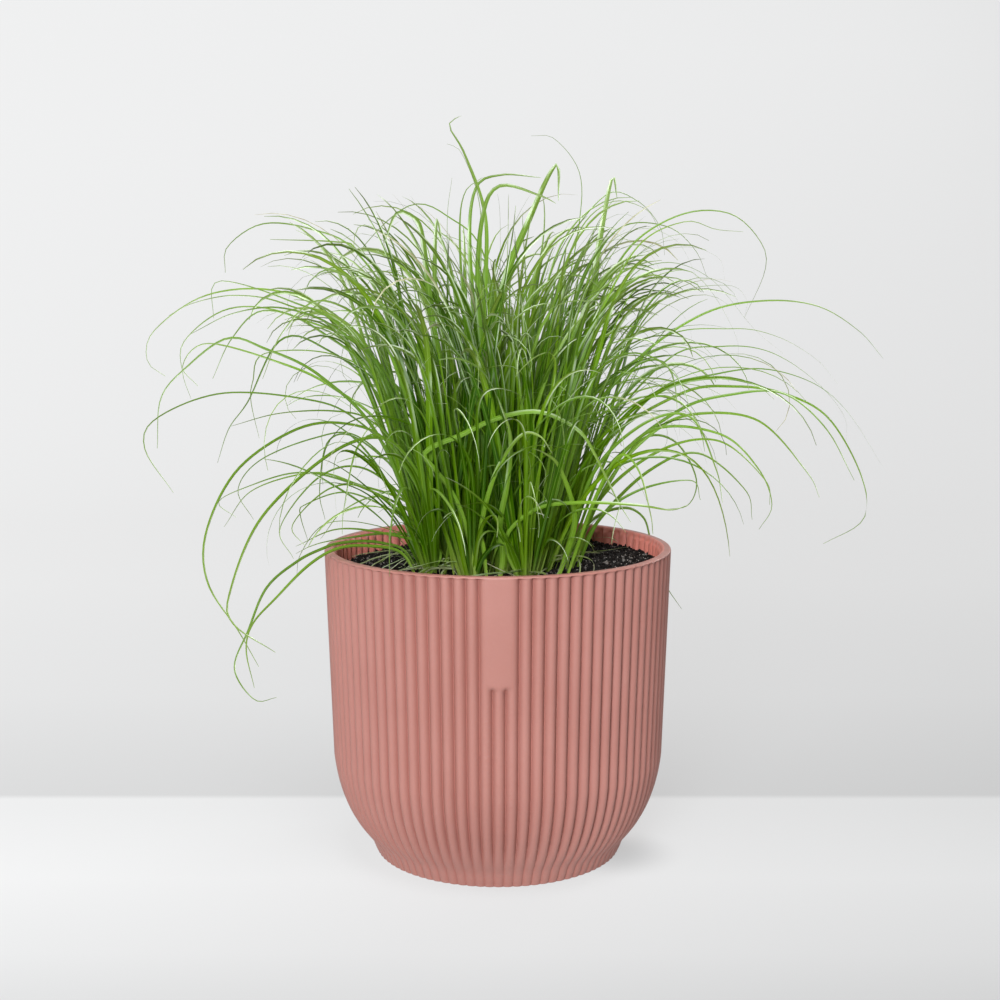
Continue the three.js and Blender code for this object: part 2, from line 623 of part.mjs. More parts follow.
for (const traced of TRACED) {
  for (let i = 0; i < SWAY_TRIES; i += 1) {
    const sway = SWAY_STEP * Math.ceil(i / 2) * (i % 2 ? 1 : -1);
    const blade = tracedBlade(traced, sway);
    if (place(blade, blade.tuft)) break;
  }
}
for (let k = 0; k < TUFTS; k += 1) {
  let count = 0;
  for (let i = 0; i < RULE_TRIES && count < RULE_BLADES; i += 1) {
    if (place(ruleBlade(k, 1000 * k + i), k)) count += 1;
  }
}

function tuftSolid(k) {
  const pieces = blades[k].map(bladeSolid);
  return pieces.reduce((joined, blade) => joined.add(blade), crownSolid(tuftCentres[k]));
}

const potMaterial = new THREE.MeshStandardMaterial({ color: POT_COLOR, roughness: 0.6 });
const soilMaterial = new THREE.MeshStandardMaterial({ color: SOIL_COLOR, roughness: 1 });
const leafMaterials = LEAF_COLORS.map(
  (color) => new THREE.MeshStandardMaterial({ color, roughness: 0.5 }),
);

const plant = new THREE.Group();
plant.add(meshOf('pot', potSolid(), potMaterial));
plant.add(meshOf('soil', soilSolid(), soilMaterial));
for (let k = 0; k < TUFTS; k += 1) {
  const name = `tuft_${String(k + 1).padStart(2, '0')}`;
  plant.add(meshOf(name, tuftSolid(k), leafMaterials[k % leafMaterials.length]));
}

export default plant;
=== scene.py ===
import math

import bmesh
import bpy
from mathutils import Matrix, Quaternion, Vector, noise


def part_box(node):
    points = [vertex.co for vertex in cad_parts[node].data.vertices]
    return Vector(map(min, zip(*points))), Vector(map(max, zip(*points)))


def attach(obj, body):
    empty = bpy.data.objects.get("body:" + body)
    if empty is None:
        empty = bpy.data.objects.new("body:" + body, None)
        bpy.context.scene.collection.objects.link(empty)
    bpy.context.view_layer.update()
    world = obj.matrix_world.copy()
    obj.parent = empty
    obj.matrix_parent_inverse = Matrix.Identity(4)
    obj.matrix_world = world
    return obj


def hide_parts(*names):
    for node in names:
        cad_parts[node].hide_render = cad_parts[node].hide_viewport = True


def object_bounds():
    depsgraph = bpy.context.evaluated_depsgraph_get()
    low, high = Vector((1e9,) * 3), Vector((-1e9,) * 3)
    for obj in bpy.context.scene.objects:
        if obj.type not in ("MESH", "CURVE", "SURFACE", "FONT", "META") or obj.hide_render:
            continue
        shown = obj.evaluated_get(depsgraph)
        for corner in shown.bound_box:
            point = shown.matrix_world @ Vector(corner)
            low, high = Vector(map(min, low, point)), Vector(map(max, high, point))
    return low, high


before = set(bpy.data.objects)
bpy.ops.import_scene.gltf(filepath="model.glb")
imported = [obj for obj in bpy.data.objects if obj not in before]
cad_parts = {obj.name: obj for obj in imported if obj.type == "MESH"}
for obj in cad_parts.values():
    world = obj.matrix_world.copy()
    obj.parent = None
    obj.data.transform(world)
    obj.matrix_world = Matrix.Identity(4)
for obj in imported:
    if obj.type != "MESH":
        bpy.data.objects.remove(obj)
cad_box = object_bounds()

# A grass-like umbrella sedge in a fluted pot. Metres, +Z up, -Y is the front.
MM = 0.001

# Camera: its place and tilt, and its lens and sensor in millimetres
EYE = Vector((0.0009, -0.6346, 0.2332))
EYE_TILT = math.radians(82.0)
LENS = 57.06
SENSOR = 36.0
NEAREST_VIEW = 0.01

# Stage: a floor that bends up into a wall, with a low wall on its other three sides
STAGE_FRONT = -8.0
STAGE_SIDE = 8.0
STAGE_LOW_WALL = 1.3
STAGE_BEND = 0.4
STAGE_BEND_STEPS = 24
FLOOR_ROWS = (-0.6, -0.3, 0.3, 0.6)
WALL_Y = 1.3
WALL_TOP = 3.2

# The stage's tones: greys from 0 to 255 along the depth of the floor and of the wall, which
# meet at a soft line. They hold painted light and shade: they get lighter with height and
# darker to the right, and there is a painted shadow beside the pot's foot.
FLOOR_LINE = 0.058
FLOOR_EDGE = 0.003
FLOOR_SPAN = (-0.16, 0.04)
FLOOR_GREYS = ((0.0, 211), (0.25, 223), (0.6, 230), (1.0, 226))
WALL_SPAN = (0.06, WALL_Y)
WALL_GREYS = ((0.0, 208), (0.14, 219), (0.4, 226), (1.0, 231))
HIGH_SPAN = (0.0, 0.5)
HIGH_SHARE = 0.5
HIGH_GREY = 239
SIDE_FADE = 0.26
SIDE_FADE_RANGE = (0.7, 1.1)
SHADE_FAN = 0.63
LEAST_FAN = 0.3
FOOT_SHADE = (0.047, -0.012, 0.0)
FOOT_SHADE_SPAN = (0.004, 0.03)
FOOT_SHADE_TONE = 0.78
STAGE_GLOW = 0.86

# Lights: name, place, size, power and tint, all turned to one target
LIGHT_TARGET = (0, 0, 0.14)
LIGHTS = (
    ("key", (-0.32, -1.47, 0.66), 0.6, 34, (0.91, 1.0, 1.06)),
    ("top", (0.05, -0.5, 1.6), 0.7, 18, (1, 1, 1)),
    ("back", (0.95, 0.85, 0.6), 0.5, 5, (1, 1, 1)),
)
WORLD_LEFT = (0.07, 0.08, 0.09, 1.0)
WORLD_RIGHT = (0.06, 0.035, 0.025, 1.0)

# Pot: a straight wall from the rim down to its foot, a belly that turns in to a waist, and
# the foot. Points of the section are (radius, height).
RIM_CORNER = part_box("pot")[1]
RIM_RADIUS = RIM_CORNER.x
RIM_HEIGHT = RIM_CORNER.z
RIM_WIDTH = 3.6 * MM
RIM_ROUNDING = 0.9 * MM
RIM_STEPS = 7
LIP = 0.8 * MM
LIP_FADE = (1.6 * LIP, 0.5 * LIP)
LIP_ROWS_BELOW = 2 * LIP
WALL_FOOT = (67.2 * MM, 40.6 * MM)
BELLY_CONTROL = (64.8 * MM, 19.2 * MM)
BELLY_STEPS = 20
WAIST = (52.8 * MM, 7.0 * MM)
WAIST_STEPS = 6
FOOT_RADIUS = 50.3 * MM
FOOT_ROUNDING = 0.9 * MM
FOOT_STEPS = 4
FOOT_CONTROL = (FOOT_RADIUS + 0.9 * MM, 2.6 * MM)
FOOT_TOP = (WAIST[0] - 0.9 * MM, WAIST[1] - 2.4 * MM)
CAVITY_FLOOR = (50.0 * MM, 5.0 * MM)
CAVITY_WALL = (63.9 * MM, 40.6 * MM)

# Flutes outside, which fade towards the foot, and the smooth panel at the front
FLUTES = 86
FLUTE_TURN = math.radians(0.5)
FLUTE_DEPTH = 2.25 * MM
FLUTE_ROUNDNESS = 2.05
FOOT_FLUTES = 0.28
FLUTE_FADE = (5 * MM, 22 * MM)
FLUTE_PHASES = (-0.5, -0.46, -0.41, -0.33, -0.2, 0.0, 0.2, 0.33, 0.41, 0.46)
PANEL_BOTTOM = 83.0 * MM
PANEL_EDGE = 0.9 * MM
PANEL_CORNER = 2.0 * MM
PANEL_ROW = 0.8 * MM

# Ribs on the inner wall, which are low on the rim and rise below it
RIB_DEPTH = 1.7 * MM
RIB_SINK = 0.5 * MM
RIB_ROUNDNESS = 2.1
RIM_RIBS = 0.25
RIB_FADE = 1.8 * MM
RIB_FADE_ROWS = 2.0 * MM

# Soil: it fills the pot and has a rough top, with loose crumbs on all but its middle
SOIL_HEIGHT = 116.0 * MM
SOIL_SHOULDER = SOIL_HEIGHT - 8 * MM
SOIL_RISE = 1.4 * MM
SOIL_SLOPE = 0.022
SOIL_RADIUS = 66.4 * MM
SOIL_RELIEF = 0.8 * MM
SOIL_GAP = 0.3 * MM
SOIL_EYE = 0.05 * MM
SOIL_COLUMNS = 240
SOIL_RINGS = 70
GRAINS = 7600
GRAIN_SEED = 77
GRAIN_EDGE = 0.8 * MM
GRAIN_AREA = (0.16, 1.0)
GRAIN_SIZE = (0.2, 0.95)
GRAIN_SIZE_POWER = 2.4
GRAIN_STRETCH = (0.5, 1.3)
GRAIN_BUMPS = (0.75, 1.15)
GRAIN_RISE = (0.1, 0.7)
PALE_FROM = 0.84
PALE_TONE = (0.7, 1.0)
PALE_SIZE = (0.16, 0.36)
BROWN_FROM = 0.74
BROWN_TONE = (0.12, 0.4)

# Tufts of leaves. These values, and those of the leaves, are in millimetres.
TUFTS = 13
TUFT_SPACING = 8.2
GOLDEN_ANGLE = math.radians(137.508)
OUTER_TUFT = 29
MAIN_BLADES = 24
MAIN_CROWN = (4.2, 1.3)
FINE_BLADES = 70
FINE_CROWN = (6.4, 2.1)
ROOT_DEPTH = 3.0
CROWN_RISE = 2.2
STRAYS = 0.1
DRY_TIPS = 0.07
CLUMP_REACH = 32.0
CLUMP_FLARE = 0.24
CLUMP_HEIGHT = 153.0
HAIR_REACH = 11.0
HAIR_WIDTH = 0.6

# A leaf: its path and its section, a ribbon folded along its midrib that ends as a hair
PATH_STEPS = 28
CURL_FROM = 0.6
CURL_GAIN = 6
FORWARD_SHORTENING = 0.22
SIDEWAYS_SHORTENING = 0.06
WAVES = (3, 8)
PHASES = (0, 6.3)
TURN_SWAY = 2.4
ACROSS = (0.0, 0.48, 0.52, 1.0)
HAIR = 0.17
FULLNESS = 2.0
BASE_WIDTH = 0.62
BASE_OPENING = 1.9
FOLD = 0.42
DRY_FADE = 0.12

# Room that leaves keep: to the box of the solids, the pot's wall and rim, the soil, and the
# pot's front
BOX_MARGIN = 0.6 * MM
WALL_INSIDE = 5.2
WALL_OUTSIDE = 1.4
RIM_ABOVE = 1.2
SOIL_ABOVE = 3.5
ROOT_STEPS = 6
FRONT_FROM = -48
FRONT_ABOVE = 4

# Dead strands that lie over the soil beside the outer tufts
DEAD_STRANDS = 5
DEAD_FROM = 12
DEAD_STEPS = 14
DEAD_LEAST = 5
DEAD_ABOVE = 0.6
DEAD_EDGE = 2.5
DEAD = dict(aside=1.7, turn=2.2, length=(18, 56), rise=(1.5, 7), start=(1, 5), width=(0.3, 0.7),
            roll=(0.6, 2.4), twist=2, taper=0.5, dry=(0.25, 0.9))

# Leaf kinds: angles in degrees, lengths and widths in millimetres. The main kinds are like
# those of the solids, and the fine ones fill the clump up.
MAIN_KINDS = (
    dict(share=0.60, lean=(0, 7), edge_lean=(4, 16), length=(125, 168), droop=(5, 70),
         power=(2.4, 4.5), width=(1.7, 2.8), taper=(0.4, 0.8), sway=(3, 9), curl=(25, 110), drift=45),
    dict(share=0.26, lean=(2, 12), edge_lean=(8, 24), length=(120, 180), droop=(80, 150),
         power=(1.6, 2.8), width=(1.1, 2.0), taper=(0.7, 1.1), sway=(4, 12), curl=(0, 40), drift=45),
    dict(share=0.14, lean=(8, 20), edge_lean=(6, 24), length=(50, 105), droop=(40, 110),
         power=(1.2, 2), width=(1.1, 1.8), taper=(0.6, 1.0), sway=(4, 14), curl=(0, 40), drift=45),
)
FINE_KINDS = (
    dict(share=0.44, lean=(0, 11), edge_lean=(3, 15), length=(118, 190), droop=(5, 70),
         power=(2.6, 5.0), width=(1.4, 2.9), taper=(0.5, 1.0), sway=(2, 6), curl=(10, 90), drift=30),
    dict(share=0.10, lean=(2, 14), edge_lean=(8, 24), length=(110, 170), droop=(80, 150),
         power=(1.5, 2.8), width=(0.8, 1.4), taper=(0.9, 1.3), sway=(4, 10), curl=(0, 50), drift=45),
    dict(share=0.08, lean=(10, 30), edge_lean=(4, 24), length=(60, 110), droop=(50, 120),
         power=(1.2, 2), width=(0.8, 1.5), taper=(0.6, 1.0), sway=(4, 10), curl=(0, 50), drift=50),
    dict(share=0.38, lean=(0, 20), edge_lean=(2, 20), length=(100, 190), droop=(50, 170),
         power=(2.0, 4.6), width=(0.2, 0.5), taper=(0.4, 0.8), sway=(9, 26), curl=(0, 120), drift=80),
)

# The eye from which the outer leaves were traced, in millimetres
EYE_DISTANCE = 635.0
EYE_HEIGHT = 233.0

# How traced leaves look, in millimetres: those that end high in the middle are bold, those
# at the front are bright and full, and all others are thinner
TRACED_STEPS = 64
SPLINE_STEPS = 14
DEPTH_POWER = 1.3
TRACED_SEED = 90000
WIDEST_TRACED = 2.6
MIDDLE_WIDTH = 1.9
MIDDLE_HEIGHT = 240
MIDDLE_REACH = 50
BENT_BELOW = 280
BENT_BY = 5
FRONT_ROOT = -22
THIN_WIDTH = 1.15

# Traced leaves in millimetres: where they leave the soil (x, y), how far back (+) or
# forward (-) the tip lies, the width, and points of the outline seen from the front.
TRACED = (
    ((-12, 6), 38, 1.5, ((-39, 212), (-56, 243), (-74, 252), (-93, 254), (-107, 245), (-108, 235))),
    ((-16, 0), 10, 1.9, ((-41, 220), (-56, 244), (-64, 247), (-90, 248))),
    ((-20, -6), -20, 2.0, ((-39, 184), (-63, 214), (-83, 224), (-104, 231), (-113, 230), (-113, 217))),
    ((-22, 4), 45, 1.7, ((-45, 192), (-67, 218), (-89, 228), (-116, 226), (-137, 212), (-140, 200),
                         (-133, 194))),
    ((-18, 10), 62, 1.5, ((-51, 204), (-83, 222), (-104, 226), (-121, 223), (-131, 218))),
    ((-24, -4), -35, 2.2, ((-43, 188), (-63, 212), (-85, 221), (-105, 219), (-122, 211))),
    ((-14, 14), 80, 1.3, ((-47, 196), (-79, 217), (-106, 221), (-125, 208), (-126, 195), (-123, 185))),
    ((-24, 6), -8, 2.2, ((-45, 186), (-71, 212), (-93, 220), (-106, 209), (-114, 193))),
    ((-16, -10), -48, 2.0, ((-39, 192), (-51, 214), (-71, 224), (-86, 211), (-94, 193))),
    ((-26, -8), -30, 2.0, ((-47, 168), (-71, 194), (-93, 205), (-108, 209), (-125, 197), (-135, 185),
                           (-137, 165))),
    ((-26, 2), 30, 1.9, ((-43, 168), (-67, 190), (-89, 200), (-116, 207), (-126, 198), (-120, 190))),
    ((-28, -2), -42, 2.0, ((-39, 156), (-59, 178), (-79, 185), (-111, 187), (-137, 177), (-142, 165),
                           (-131, 147))),
    ((-18, 16), 70, 1.3, ((-43, 184), (-64, 202), (-93, 203), (-98, 192), (-99, 184), (-96, 169))),
    ((-26, -12), -60, 2.1, ((-39, 160), (-51, 176), (-66, 180), (-88, 179), (-107, 174))),
    ((-20, 8), 20, 2.3, ((-47, 184), (-71, 206), (-87, 208), (-100, 184), (-108, 173), (-113, 159))),
    ((-30, -8), -70, 2.6, ((-31, 144), (-45, 168), (-63, 175), (-82, 172), (-105, 156), (-118, 131),
                           (-118, 110), (-106, 90), (-98, 75))),
    ((-22, 18), 60, 1.2, ((-39, 152), (-57, 170), (-74, 169), (-96, 160), (-105, 148), (-99, 136))),
    ((-30, -14), -96, 3.0, ((-27, 140), (-39, 164), (-52, 169), (-71, 160), (-96, 136), (-109, 106),
                            (-108, 93), (-91, 81))),
    ((-31, 2), 12, 2.3, ((-23, 127), (-33, 138), (-60, 151), (-81, 155), (-102, 149), (-113, 143),
                         (-106, 137))),
    ((-30, 8), 40, 2.1, ((-25, 129), (-37, 143), (-56, 150), (-74, 155), (-99, 148), (-111, 133))),
    ((-31, 12), 52, 1.8, ((-23, 127), (-40, 138), (-61, 147), (-78, 142), (-80, 138), (-77, 127))),
    ((-28, -16), -50, 1.6, ((-28, 127), (-50, 147), (-67, 149), (-83, 134), (-78, 125))),
    ((-29, -10), -30, 1.7, ((-32, 136), (-52, 156), (-71, 154), (-88, 133), (-83, 120))),
    ((-26, 20), 60, 1.3, ((-28, 131), (-46, 145), (-62, 140), (-72, 128))),
    ((-27, -18), -64, 1.9, ((-29, 140), (-45, 168), (-56, 166), (-62, 141), (-63, 130))),
    ((-24, 14), 34, 1.4, ((-31, 144), (-55, 168), (-68, 168), (-72, 148), (-70, 136))),
    ((-30, -20), -40, 2.0, ((-24, 123), (-45, 130), (-65, 132), (-82, 125))),
    ((-30, -14), -42, 1.9, ((-38, 123), (-46, 126), (-55, 127), (-65, 126), (-71, 124), (-81, 119),
                            (-94, 108), (-102, 90), (-108, 74), (-100, 61), (-91, 62))),
    ((-31, -20), -56, 2.0, ((-39, 122), (-52, 125), (-65, 124), (-77, 117), (-90, 104), (-100, 93),
                            (-103, 82), (-100, 66))),
    ((-28, -4), -8, 1.6, ((-34, 128), (-42, 130), (-49, 130), (-57, 129), (-69, 127), (-76, 125),
                          (-82, 122))),
    ((-29, 6), 30, 1.2, ((-28, 125), (-52, 134), (-70, 134), (-80, 122), (-82, 112))),
    ((-6, -4), -10, 2.6, ((-4, 176), (-5, 224), (-5, 257), (-13, 281), (-19, 292), (-14, 296))),
    ((-8, 8), 16, 1.4, ((-6, 184), (-7, 224), (-7, 260), (-14, 281), (-20, 285))),
    ((2, -8), -24, 3.2, ((-3, 172), (1, 224), (13, 257), (23, 277), (24, 263))),
    ((10, 2), 8, 2.7, ((25, 172), (35, 208), (40, 246), (45, 272), (47, 264))),
    ((6, 8), 26, 1.5, ((17, 176), (25, 216), (32, 254), (32, 274), (22, 287), (13, 288))),
    ((-2, 6), 20, 2.5, ((-6, 184), (-11, 240), (-9, 267), (1, 273), (17, 272))),
    ((-10, 2), 6, 2.0, ((-15, 176), (-24, 224), (-25, 239), (-24, 256), (-22, 247))),
    ((-6, 12), 24, 1.2, ((-13, 184), (-19, 224), (-20, 255), (-18, 272))),
    ((-4, -10), -28, 2.0, ((-7, 172), (-13, 216), (-15, 250), (-13, 266), (-6, 272))),
    ((-12, -6), -30, 2.4, ((-19, 172), (-26, 216), (-30, 250), (-34, 257), (-40, 258), (-45, 246))),
    ((2, 14), 50, 1.5, ((1, 184), (-5, 240), (-20, 257), (-35, 261), (-54, 244), (-64, 224))),
    ((-2, -12), -50, 2.0, ((-3, 172), (-8, 224), (-6, 257), (1, 269), (17, 265), (23, 262))),
    ((-14, 10), 40, 1.8, ((-23, 184), (-35, 224), (-45, 246), (-43, 252), (-39, 255))),
    ((14, 4), 20, 2.1, ((29, 184), (41, 224), (53, 246), (73, 258), (92, 258), (104, 247), (106, 236),
                        (98, 217))),
    ((12, -8), -30, 2.2, ((25, 184), (41, 220), (56, 246), (74, 255), (86, 252), (97, 251))),
    ((18, -4), -24, 2.1, ((37, 176), (57, 202), (82, 219), (105, 224), (127, 222), (144, 212), (154, 201))),
    ((8, 12), 40, 1.2, ((17, 192), (25, 240), (42, 265), (55, 263), (64, 253), (66, 242))),
    ((10, 14), 56, 1.3, ((19, 192), (29, 244), (43, 262), (58, 260), (64, 251))),
    ((14, 12), 64, 1.4, ((25, 192), (37, 236), (49, 253), (67, 253), (78, 244), (83, 233))),
    ((16, 8), 44, 1.6, ((27, 192), (40, 240), (55, 252), (70, 248), (78, 235), (80, 227))),
    ((12, -12), -52, 1.6, ((21, 188), (33, 236), (47, 248), (60, 243), (68, 227))),
    ((18, 12), 72, 1.3, ((33, 188), (48, 236), (72, 245), (87, 241), (90, 232))),
    ((18, 0), 4, 1.8, ((33, 184), (49, 228), (65, 239), (84, 233), (102, 213), (114, 203))),
    ((20, -8), -44, 1.7, ((37, 180), (51, 224), (71, 236), (83, 230), (95, 210), (96, 198))),
    ((22, 4), 24, 2.4, ((41, 176), (53, 212), (71, 227), (92, 230), (99, 224), (98, 218))),
    ((24, -4), -20, 1.9, ((41, 172), (64, 208), (93, 213), (111, 210), (127, 201), (136, 191))),
    ((24, 8), 36, 1.8, ((41, 168), (68, 201), (89, 206), (108, 204), (126, 193), (139, 178), (140, 165))),
    ((26, 0), -30, 2.3, ((45, 164), (64, 188), (87, 195), (107, 197), (127, 191), (141, 179), (155, 158))),
    ((26, 10), 50, 1.8, ((41, 164), (73, 187), (95, 190), (115, 187), (133, 177), (147, 153), (148, 136),
                         (132, 126))),
    ((28, -6), -52, 2.0, ((45, 156), (72, 180), (95, 187), (115, 187), (132, 173), (144, 152))),
    ((28, 4), 8, 2.1, ((45, 152), (63, 172), (80, 179), (105, 176), (125, 155), (130, 145))),
    ((28, 14), 56, 1.5, ((41, 144), (57, 168), (71, 168), (80, 153), (77, 142), (66, 140))),
    ((10, -28), -70, 1.3, ((3, 127), (15, 140), (33, 143), (56, 142), (70, 140), (77, 142))),
    ((26, -14), -72, 1.8, ((37, 152), (57, 174), (77, 178), (88, 157), (91, 143))),
    ((26, -20), -60, 1.6, ((39, 144), (49, 162), (57, 156), (62, 138), (63, 130))),
    ((28, -12), -66, 2.0, ((41, 148), (61, 172), (89, 171), (105, 157), (111, 142), (106, 132))),
    ((30, 2), 20, 1.8, ((41, 144), (65, 164), (89, 168), (108, 152), (110, 142))),
    ((30, 12), 44, 1.8, ((41, 136), (61, 156), (81, 163), (100, 148), (103, 136))),
    ((30, -8), -36, 1.7, ((41, 136), (57, 148), (78, 152), (82, 144))),
    ((24, 22), 84, 2.6, ((38, 136), (51, 141), (59, 137), (62, 128), (65, 118), (69, 108), (75, 99))),
    ((-8, -26), -52, 2.0, ((-14, 136), (-20, 149), (-26, 157), (-30, 162), (-26, 166), (-16, 170), (-1, 177),
                           (14, 180), (25, 177), (34, 171), (39, 163), (44, 153), (49, 143), (54, 135))),
    ((22, -24), -62, 2.1, ((28, 123), (31, 138), (25, 157), (19, 163), (14, 165))),
    ((-4, -28), -58, 1.9, ((-6, 124), (-7, 133), (-1, 155), (9, 170), (17, 170), (22, 163))),
    ((0, -28), -50, 2.1, ((2, 121), (1, 135), (4, 152), (5, 170), (0, 186))),
)


# Shares of the painted shade in the pot's grooves and of the light that shines through a leaf,
# and the ends of the pot's roughness
GROOVE_SHADE_SHARE = 0.3
LEAF_THROUGH = 0.36
POT_ROUGHNESS = ((0.3, (0.42, 0.42, 0.42, 1.0)), (0.7, (0.52, 0.52, 0.52, 1.0)))

# Colours, as red, green and blue from 0 to 255, some with their place along a ramp
POT_TONES = ((0.3, (156, 104, 94)), (0.7, (163, 111, 101)))
POT_SPECKLE = (134, 80, 70)
# Painted shade: the darker, redder tone laid into the pot's grooves
POT_GROOVE_SHADE = (140, 66, 52)
# Painted light: a lighter, redder tone for the inner wall above the soil
POT_INSIDE_LIGHT = (196, 110, 96)
SOIL_DARK = ((0.34, (6, 4, 3)), (0.55, (20, 14, 12)), (0.72, (50, 37, 31)))
SOIL_PALE = ((0.3, (138, 118, 108)), (0.7, (214, 204, 196)))
LEAF_YOUNG = ((0.0, (180, 190, 96)), (0.14, (134, 170, 28)), (0.45, (118, 158, 8)),
              (0.65, (132, 170, 30)), (0.85, (130, 150, 62)), (1.0, (126, 130, 92)))
LEAF_OLD = ((0.0, (132, 142, 56)), (0.14, (60, 102, 0)), (0.45, (42, 82, 0)),
            (0.65, (56, 98, 4)), (0.85, (72, 96, 32)), (1.0, (94, 100, 70)))
LEAF_STRAW = ((0.3, (150, 140, 104)), (0.7, (204, 200, 170)))
LEAF_SHADE = (36, 72, 0)
LEAF_MIDRIB = (176, 204, 96)
# Painted highlight: the pale streaks on the leaves' outer halves
LEAF_PAINTED_GLINT = (230, 239, 208)
LEAF_UNDER = (150, 186, 90)
LEAF_GLOW = (136, 186, 6)


def lerp(a, b, t):
    return a + (b - a) * t


def smoothstep(low, high, value):
    t = min(1.0, max(0.0, (value - low) / (high - low)))
    return t * t * (3 - 2 * t)


class Draw:
    """Repeatable random numbers from a seed."""

    def __init__(self, seed):
        self.state = (seed * 7919 + 104729) % 2147483647
        for _ in range(3):
            self()

    def __call__(self, low=0.0, high=1.0):
        self.state = self.state * 16807 % 2147483647
        return low + (high - low) * (self.state / 2147483647)


# Materials

class Nodes:
    """A material's node tree, with short calls to add and join nodes."""

    def __init__(self, name):
        self.material = bpy.data.materials.new(name)
        self.material.use_nodes = True
        self.tree = self.material.node_tree
        self.bsdf = self.tree.nodes["Principled BSDF"]

    def add(self, kind, inputs=None, **settings):
        node = self.tree.nodes.new(kind)
        for key, value in settings.items():
            setattr(node, key, value)
        for key, value in (inputs or {}).items():
            self.put(node, key, value)
        return node

    def put(self, node, key, value):
        if isinstance(value, bpy.types.NodeSocket):
            self.tree.links.new(value, node.inputs[key])
        else:
            node.inputs[key].default_value = value

    def surface(self, **values):
        """Sets inputs of the main shader, with spaces for the underscores in their names."""
        for key, value in values.items():
            self.put(self.bsdf, key.replace("_", " "), value)

    def place(self):
        return self.add("ShaderNodeTexCoord").outputs["Object"]

    def attribute(self, name):
        return self.add("ShaderNodeAttribute", attribute_name=name).outputs

    def axes(self, vector):
        return self.add("ShaderNodeSeparateXYZ", {"Vector": vector}).outputs

    def noise(self, vector, scale, detail=4.0, roughness=0.5):
        return self.add("ShaderNodeTexNoise", {"Vector": vector, "Scale": scale, "Detail": detail,
                                               "Roughness": roughness}).outputs["Fac"]

    def ramp(self, factor, *stops):
        node = self.add("ShaderNodeValToRGB", {"Fac": factor})
        elements = node.color_ramp.elements
        while len(elements) < len(stops):
            elements.new(0.5)
        for element, (position, colour) in zip(elements, stops):
            element.position = position
            element.color = colour
        return node.outputs["Color"]

    def palette(self, factor, stops):
        return self.ramp(factor, *[(position, srgb(*colour)) for position, colour in stops])

    def greys(self, factor, stops):
        return self.ramp(factor, *[(position, grey(value)) for position, value in stops])

    def span(self, value, ends, to_ends=(0.0, 1.0), **settings):
        """Maps the range between two ends onto another one."""
        node = self.add("ShaderNodeMapRange", {"Value": value, "From Min": ends[0], "From Max": ends[1],
                                               "To Min": to_ends[0], "To Max": to_ends[1]}, **settings)
        return node.outputs["Result"]

    def mix(self, factor, a, b, blend="MIX"):
        node = self.add("ShaderNodeMix", data_type="RGBA", blend_type=blend)
        self.put(node, 0, factor)
        self.put(node, 6, a)
        self.put(node, 7, b)
        return node.outputs[2]

    def darken(self, colour, amount):
        even = self.add("ShaderNodeCombineColor", {0: amount, 1: amount, 2: amount}).outputs[0]
        return self.mix(1.0, colour, even, "MULTIPLY")

    def math(self, operation, a, b=0.0):
        return self.add("ShaderNodeMath", {0: a, 1: b}, operation=operation).outputs[0]

    def bump(self, height, strength, distance):
        return self.add("ShaderNodeBump", {"Height": height, "Strength": strength,
                                           "Distance": distance}).outputs["Normal"]

    def blend_shader(self, share, other):
        """Puts a share of another shader over the main one."""
        shader = self.add("ShaderNodeMixShader", {0: share, 1: self.bsdf.outputs[0], 2: other.outputs[0]})
        output = self.tree.nodes["Material Output"]
        self.tree.links.new(shader.outputs[0], output.inputs["Surface"])


def srgb(red, green, blue):
    def linear(value):
        value /= 255
        return value / 12.92 if value <= 0.04045 else ((value + 0.055) / 1.055) ** 2.4
    return (linear(red), linear(green), linear(blue), 1.0)


def grey(value):
    return srgb(value, value, value)


def groove_painted_shade(n, axes):
    """How much painted shade the grooves get: darkest along the middle, none on the lip and the panel."""
    turn = n.math("MULTIPLY", n.math("ARCTAN2", axes["X"], n.math("MULTIPLY", axes["Y"], -1.0)),
                  FLUTES / (2 * math.pi))
    turn = n.math("ADD", turn, FLUTE_TURN * FLUTES / (-2 * math.pi))
    groove = n.math("POWER", n.math("MULTIPLY", n.math("PINGPONG", turn, 0.5), 2.0), 3.0)
    panel = n.math("MULTIPLY", n.math("LESS_THAN", n.math("ABSOLUTE", turn), 1.0),
                   n.math("GREATER_THAN", axes["Z"], PANEL_BOTTOM))
    lip = n.math("GREATER_THAN", axes["Z"], RIM_HEIGHT - LIP)
    plain = n.math("MAXIMUM", panel, lip)
    share = n.math("SUBTRACT", GROOVE_SHADE_SHARE, n.math("MULTIPLY", plain, GROOVE_SHADE_SHARE))
    return n.math("MULTIPLY", groove, share)


